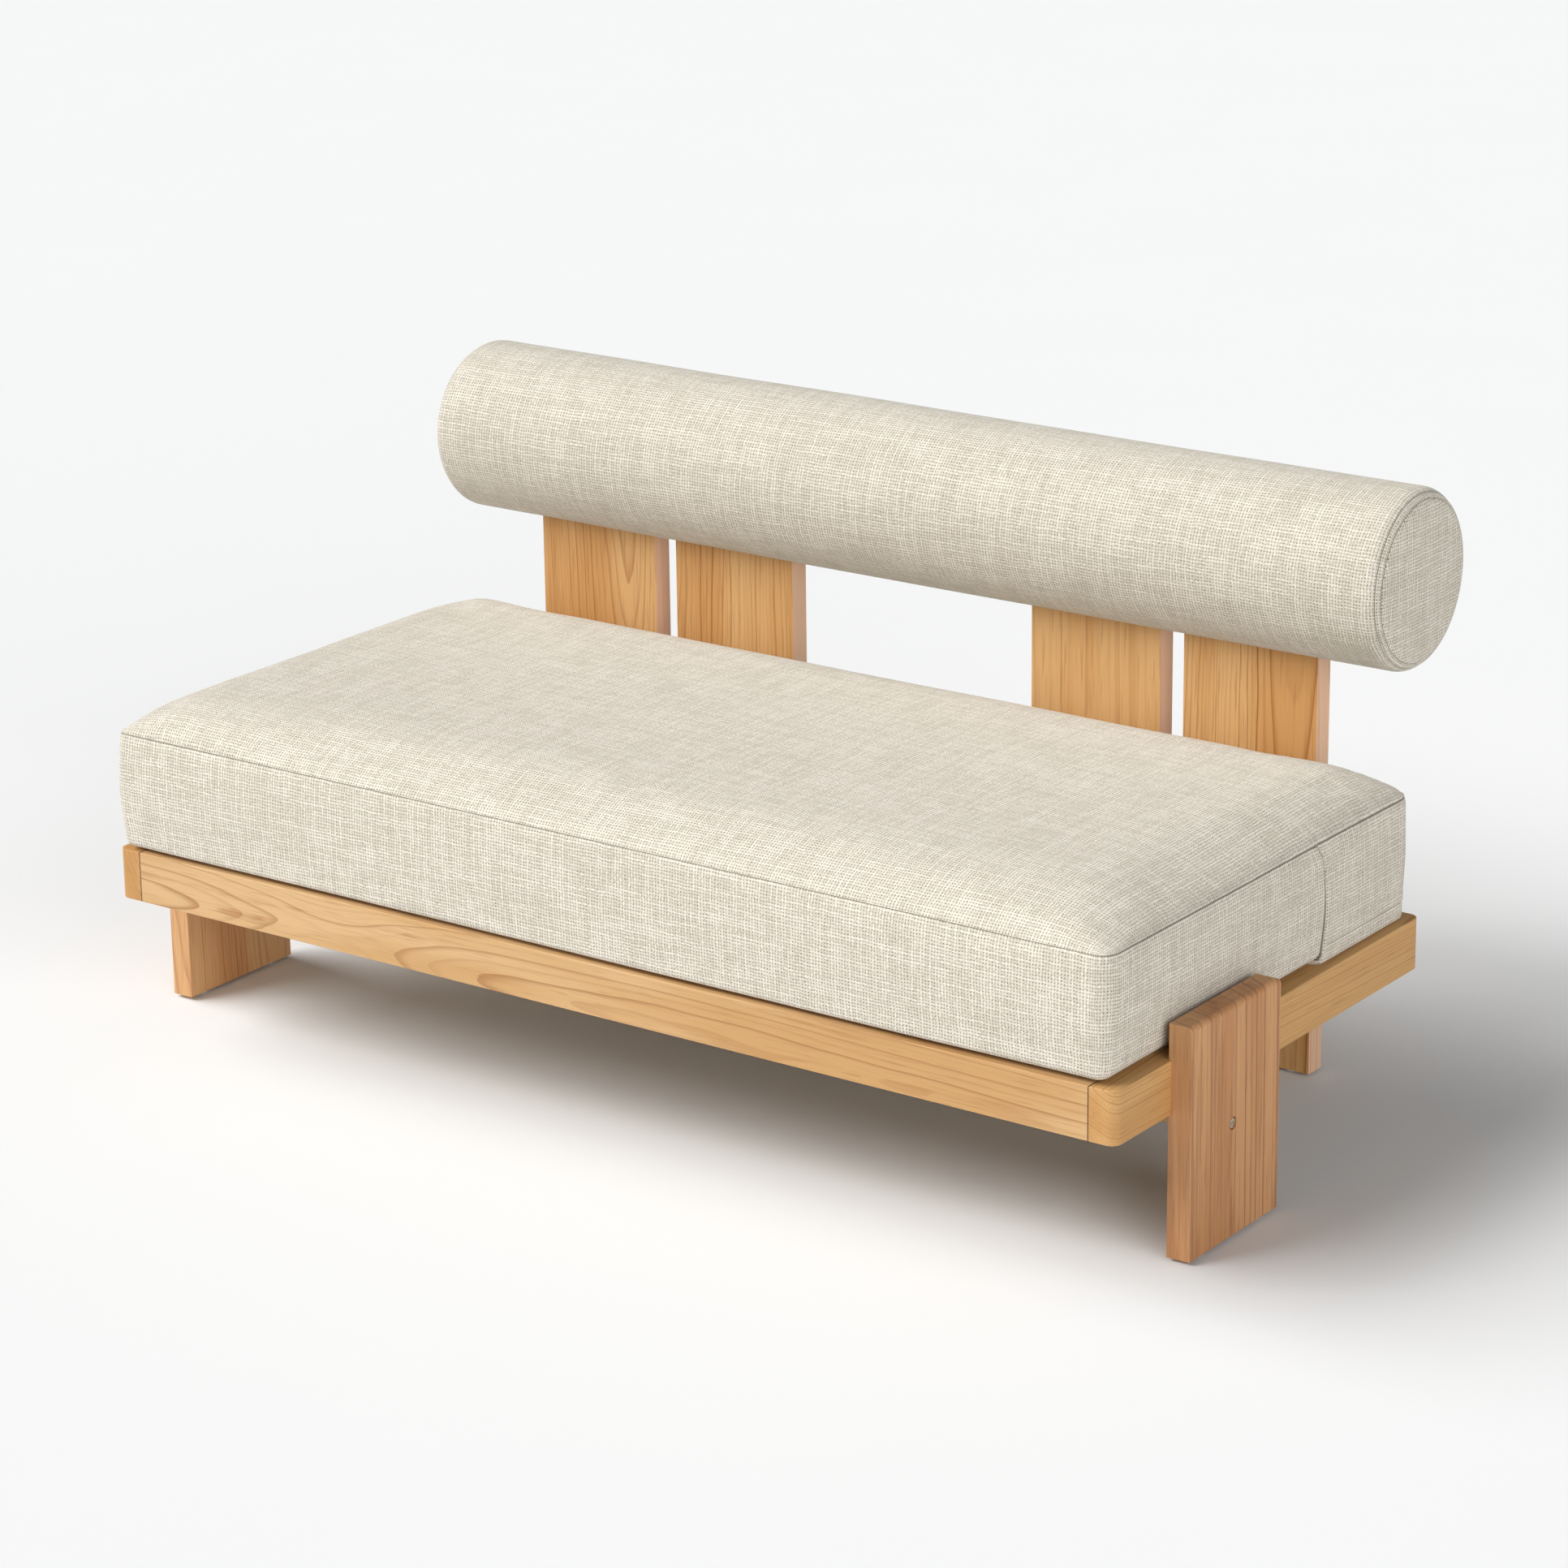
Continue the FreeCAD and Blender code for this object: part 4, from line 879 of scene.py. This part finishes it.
def bolster_cover():
    post_boxes = [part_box(post) for post in POSTS]
    slots = [(low.x - SLOT_PLAY, high.x + SLOT_PLAY) for low, high in post_boxes]
    slot_y = (post_boxes[0][0].y - SLOT_PLAY - AXIS.y, post_boxes[0][1].y + SLOT_PLAY - AXIS.y)
    # Angles run from straight down, towards the back.
    slot_angles = [math.asin(y / BOLSTER_RADIUS) for y in slot_y]
    zip_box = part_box("bolster_zip")
    zip_angle = math.pi / 2 - BOLSTER_ZIP_ANGLE
    zip_half = ZIP_HALF_WIDTH / BOLSTER_RADIUS
    lip = LIP / BOLSTER_RADIUS
    turns = [zip_angle - zip_half - lip, zip_angle - zip_half]
    turns += [zip_angle + zip_half, zip_angle + zip_half + lip]
    turns += [*slot_angles, slot_angles[0] + 2 * math.pi]
    turns = spaced(sorted(turns), TURN_STEP / BOLSTER_RADIUS)[:-1]
    tube_half = BOLSTER_HALF - RIM
    lines = [x for slot in slots for x in slot]
    lines += [zip_box[0].x, zip_box[1].x, zip_box[0].x - LIP, zip_box[1].x + LIP]
    lines = spaced(sorted([-tube_half, tube_half, *lines]), SKIN_STEP)
    rings = [(x, BOLSTER_RADIUS, x, 0.0, False) for x in lines]
    ends = bolster_profile()[1:]
    right = [(BOLSTER_HALF - a, r, tube_half + s, seam, disc) for a, r, s, seam, disc in ends]
    left = [(-x, r, -s, seam, disc) for x, r, s, seam, disc in right]
    rings = left[::-1] + rings + right
    points, seams = [], []

    def swollen(x, turn):
        spot = Vector((x * 4.0, math.cos(turn) * 1.2, math.sin(turn) * 1.2 + 5.5))
        return 1.1 * MM * noise.noise(spot)

    for x, radius, _, seam, _ in rings:
        for turn in turns:
            out = Vector((0, math.sin(turn), -math.cos(turn)))
            reach = radius + swollen(x, turn) * min(1.0, radius / BOLSTER_RADIUS)
            at_zip = abs(turn - zip_angle) < zip_half + 0.2 * lip
            if at_zip and zip_box[0].x - 1e-5 < x < zip_box[1].x + 1e-5:
                reach -= ZIP_SINK
            if abs(x) < tube_half:
                reach += slot_hem(x, turn, slots, slot_angles)
            points.append(AXIS + Vector((x, 0, 0)) + out * reach)
            seams.append(seam)
    count = len(turns)
    faces, weave = [], []
    for a in range(len(rings) - 1):
        middle = (rings[a][0] + rings[a + 1][0]) / 2
        over_post = any(low < middle < high for low, high in slots)
        for b in range(count):
            ahead = (b + 1) % count
            turn = turns[b]
            turn_ahead = turns[ahead] + (2 * math.pi if ahead == 0 else 0)
            if over_post and slot_angles[0] < (turn + turn_ahead) / 2 < slot_angles[1]:
                continue
            corners = [(a, b), (a, ahead), (a + 1, ahead), (a + 1, b)]
            faces.append([i * count + j for i, j in corners])
            if rings[a][4] and rings[a + 1][4]:
                flat = [points[i * count + j] for i, j in corners]
                weave.append([(p.y, p.z) for p in flat])
            else:
                s, s_ahead = rings[a][2], rings[a + 1][2]
                r, r_ahead = turn * BOLSTER_RADIUS, turn_ahead * BOLSTER_RADIUS
                weave.append([(s, r), (s, r_ahead), (s_ahead, r_ahead), (s_ahead, r)])
    tip = BOLSTER_HALF + DISC_DOME
    for ring, x in ((0, -tip), (len(rings) - 1, tip)):
        centre = len(points)
        points.append(AXIS + Vector((x, 0, 0)))
        seams.append(0.0)
        for b in range(count):
            pair = [ring * count + b, ring * count + (b + 1) % count]
            face = [centre, *(pair if ring else pair[::-1])]
            faces.append(face)
            weave.append([(points[i].y, points[i].z) for i in face])
    piece = make_mesh("bolster_linen", points, faces, weave, seams)
    piece.data.materials.append(bolster_linen)
    shell = piece.modifiers.new("cloth_thickness", "SOLIDIFY")
    shell.thickness = COVER
    shell.offset = -1
    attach(piece, "bolster")
    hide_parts("bolster_cover")


def slot_hem(x, turn, slots, slot_angles):
    """The cover turns in slightly towards the posts at its slots."""
    centre = sum(slot_angles) / 2
    half = (slot_angles[1] - slot_angles[0]) / 2
    away = abs((turn - centre + math.pi) % (2 * math.pi) - math.pi)
    beside = max(0.0, away - half) * BOLSTER_RADIUS
    past = min(max(low - x, x - high, 0.0) for low, high in slots)
    return -1.2 * MM * bell(math.hypot(beside, past), 6 * MM)


bolster_cover()


# ---- zips ----

def zip_cloth():
    shader = Shader("zip_tape")
    spot = shader.place()
    length = shader.add("SeparateXYZ", {0: spot}).outputs[0]
    rib = shader.math("SINE", shader.math("MULTIPLY", length, 9000.0))
    grain = shader.noise(spot, 1800.0, 2.0)
    colour = shader.mix(grain, (0.62, 0.57, 0.47, 1), (0.48, 0.43, 0.35, 1))
    shader.bump(shader.math("MULTIPLY_ADD", rib, 0.3, grain), 0.3, 0.0002)
    return shader.finish(colour, Roughness=0.85)


def zip_teeth_plastic():
    shader = Shader("zip_teeth")
    grain = shader.noise(shader.place(), 2500.0, 1.0)
    colour = shader.mix(grain, (0.58, 0.53, 0.43, 1), (0.50, 0.45, 0.36, 1))
    shader.bump(grain, 0.1, 0.0001)
    return shader.finish(colour, Roughness=0.4)


# A bar's corners by number, four at each of its ends.
BAR_FACES = ((0, 1, 2, 3), (7, 6, 5, 4), (0, 4, 5, 1), (1, 5, 6, 2), (2, 6, 7, 3), (3, 7, 4, 0))
TAPE_GAP, TAPE_HALF, TAPE_EDGE = 0.25 * MM, 5.7 * MM, 2.9 * MM  # sideways from the middle line
TOOTH_PITCH = 1.9 * MM
TEETH_PROUD = 0.9 * MM  # how far the CAD's teeth stand out of the fabric's face


def zip_strip(name, node, body, along, outward, face, tape, teeth):
    """A tape with a raised edge and interlocking teeth, in the place of the CAD's plain bar. The
    face is a point of the fabric's surface on the zip's middle line."""
    low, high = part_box(node)
    length = high.x - low.x
    across = along.cross(outward)
    points, faces, materials = [], [], []

    def bar(x_low, x_high, side_low, side_high, out_low, out_high, material):
        start = len(points)
        section = [
            (side_low, out_low), (side_high, out_low), (side_high, out_high), (side_low, out_high)
        ]
        for x in (x_low, x_high):
            for side, out in section:
                points.append(face + along * x + across * side + outward * out)
        for corners in BAR_FACES:
            faces.append([start + k for k in corners])
            materials.append(material)

    half = length / 2
    for sign in (-1, 1):
        inner, outer = sorted((sign * TAPE_GAP, sign * TAPE_HALF))
        bar(-half, half, inner, outer, -1.9 * MM, -0.9 * MM, 0)
        inner, outer = sorted((sign * TAPE_GAP, sign * TAPE_EDGE))
        bar(-half + 2 * MM, half - 2 * MM, inner, outer, -0.95 * MM, -0.45 * MM, 0)
    count = int((length - 6 * MM) / TOOTH_PITCH)
    for k in range(count):
        x = (k - (count - 1) / 2) * TOOTH_PITCH
        side = 1 if k % 2 else -1
        inner, outer = sorted((-side * 0.7 * MM, side * 2.4 * MM))
        bar(x - 0.7 * MM, x + 0.7 * MM, inner, outer, -0.5 * MM, 0.85 * MM, 1)
    piece = make_mesh(name, points, faces)
    work = bmesh.new()
    work.from_mesh(piece.data)
    bmesh.ops.recalc_face_normals(work, faces=work.faces)
    work.to_mesh(piece.data)
    work.free()
    piece.data.polygons.foreach_set("use_smooth", [False] * len(faces))
    piece.data.materials.append(tape)
    piece.data.materials.append(teeth)
    piece.data.polygons.foreach_set("material_index", materials)
    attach(piece, body)
    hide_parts(node)


tape_cloth, teeth_plastic = zip_cloth(), zip_teeth_plastic()
cushion_zip_face = Vector((0, zip_high.y - TEETH_PROUD, (zip_low.z + zip_high.z) / 2))
zip_strip(
    "cushion_zip_strip", "cushion_zip", "seat_cushion", Vector((1, 0, 0)), Vector((0, 1, 0)),
    cushion_zip_face, tape_cloth, teeth_plastic,
)
zip_out = Vector((0, math.cos(BOLSTER_ZIP_ANGLE), -math.sin(BOLSTER_ZIP_ANGLE)))
zip_strip(
    "bolster_zip_strip", "bolster_zip", "bolster", Vector((1, 0, 0)), zip_out,
    AXIS + zip_out * BOLSTER_RADIUS, tape_cloth, teeth_plastic,
)


# ---- floor, light and camera ----

FLOOR_HALF = 150
# The camera fitted to the photograph's edges: azimuth, pitch and roll in degrees, the lens in mm,
# and its place, where Y is taken from the front rail's face.
CAMERA_ANGLES = (35.939, 18.315, -0.728)
CAMERA_LENS = 112.72
CAMERA_PLACE = (3.64859, front_face_y - 4.58941, 2.43534)


def floor():
    points = [(x * FLOOR_HALF, y * FLOOR_HALF, 0) for x, y in ((-1, -1), (1, -1), (1, 1), (-1, 1))]
    ground = make_mesh("floor", points, [(0, 1, 2, 3)])
    shader = Shader("floor_paint")
    grain = shader.noise(shader.place(), 2.0, 3.0)
    colour = shader.mix(grain, (0.80, 0.80, 0.80, 1), (0.81, 0.81, 0.81, 1))
    ground.data.materials.append(shader.finish(colour, Roughness=0.95, Specular_IOR_Level=0.0))


def sun(name, toward_light, strength, spread, colour=(1, 1, 1)):
    light = bpy.data.lights.new(name, "SUN")
    light.energy = strength
    light.angle = math.radians(spread)
    light.color = colour
    lamp = bpy.data.objects.new(name, light)
    scene.collection.objects.link(lamp)
    lamp.rotation_mode = "QUATERNION"
    lamp.rotation_quaternion = Vector(toward_light).to_track_quat("Z", "Y")


def world(strength, colour):
    scene.world = bpy.data.worlds.new("studio")
    scene.world.use_nodes = True
    background = scene.world.node_tree.nodes["Background"]
    background.inputs["Color"].default_value = (*colour, 1)
    background.inputs["Strength"].default_value = strength


def camera():
    azimuth, pitch, roll = (math.radians(a) for a in CAMERA_ANGLES)
    forward = Vector((
        -math.sin(azimuth) * math.cos(pitch), math.cos(azimuth) * math.cos(pitch), -math.sin(pitch)
    ))
    level = forward.cross(Vector((0, 0, 1))).normalized()
    upright = level.cross(forward)
    right = level * math.cos(roll) + upright * math.sin(roll)
    up = upright * math.cos(roll) - level * math.sin(roll)
    data = bpy.data.cameras.new("camera")
    data.sensor_width = 36
    data.lens = CAMERA_LENS
    view = bpy.data.objects.new("camera", data)
    scene.collection.objects.link(view)
    view.matrix_world = Matrix((right, up, -forward)).transposed().to_4x4()
    view.location = CAMERA_PLACE
    data.clip_end = 100
    scene.camera = view


floor()
sun("key", (-0.46, -0.60, 0.65), 1.95, 30, (1.0, 1.0, 0.99))
sun("window", (-0.73, -0.20, 0.64), 2.1, 40, (1.0, 1.0, 0.995))
sun("right_fill", (0.87, -0.44, 0.22), 2.1, 55)
world(0.16, (0.96, 1.0, 1.04))
camera()
scene.view_settings.view_transform = "Standard"
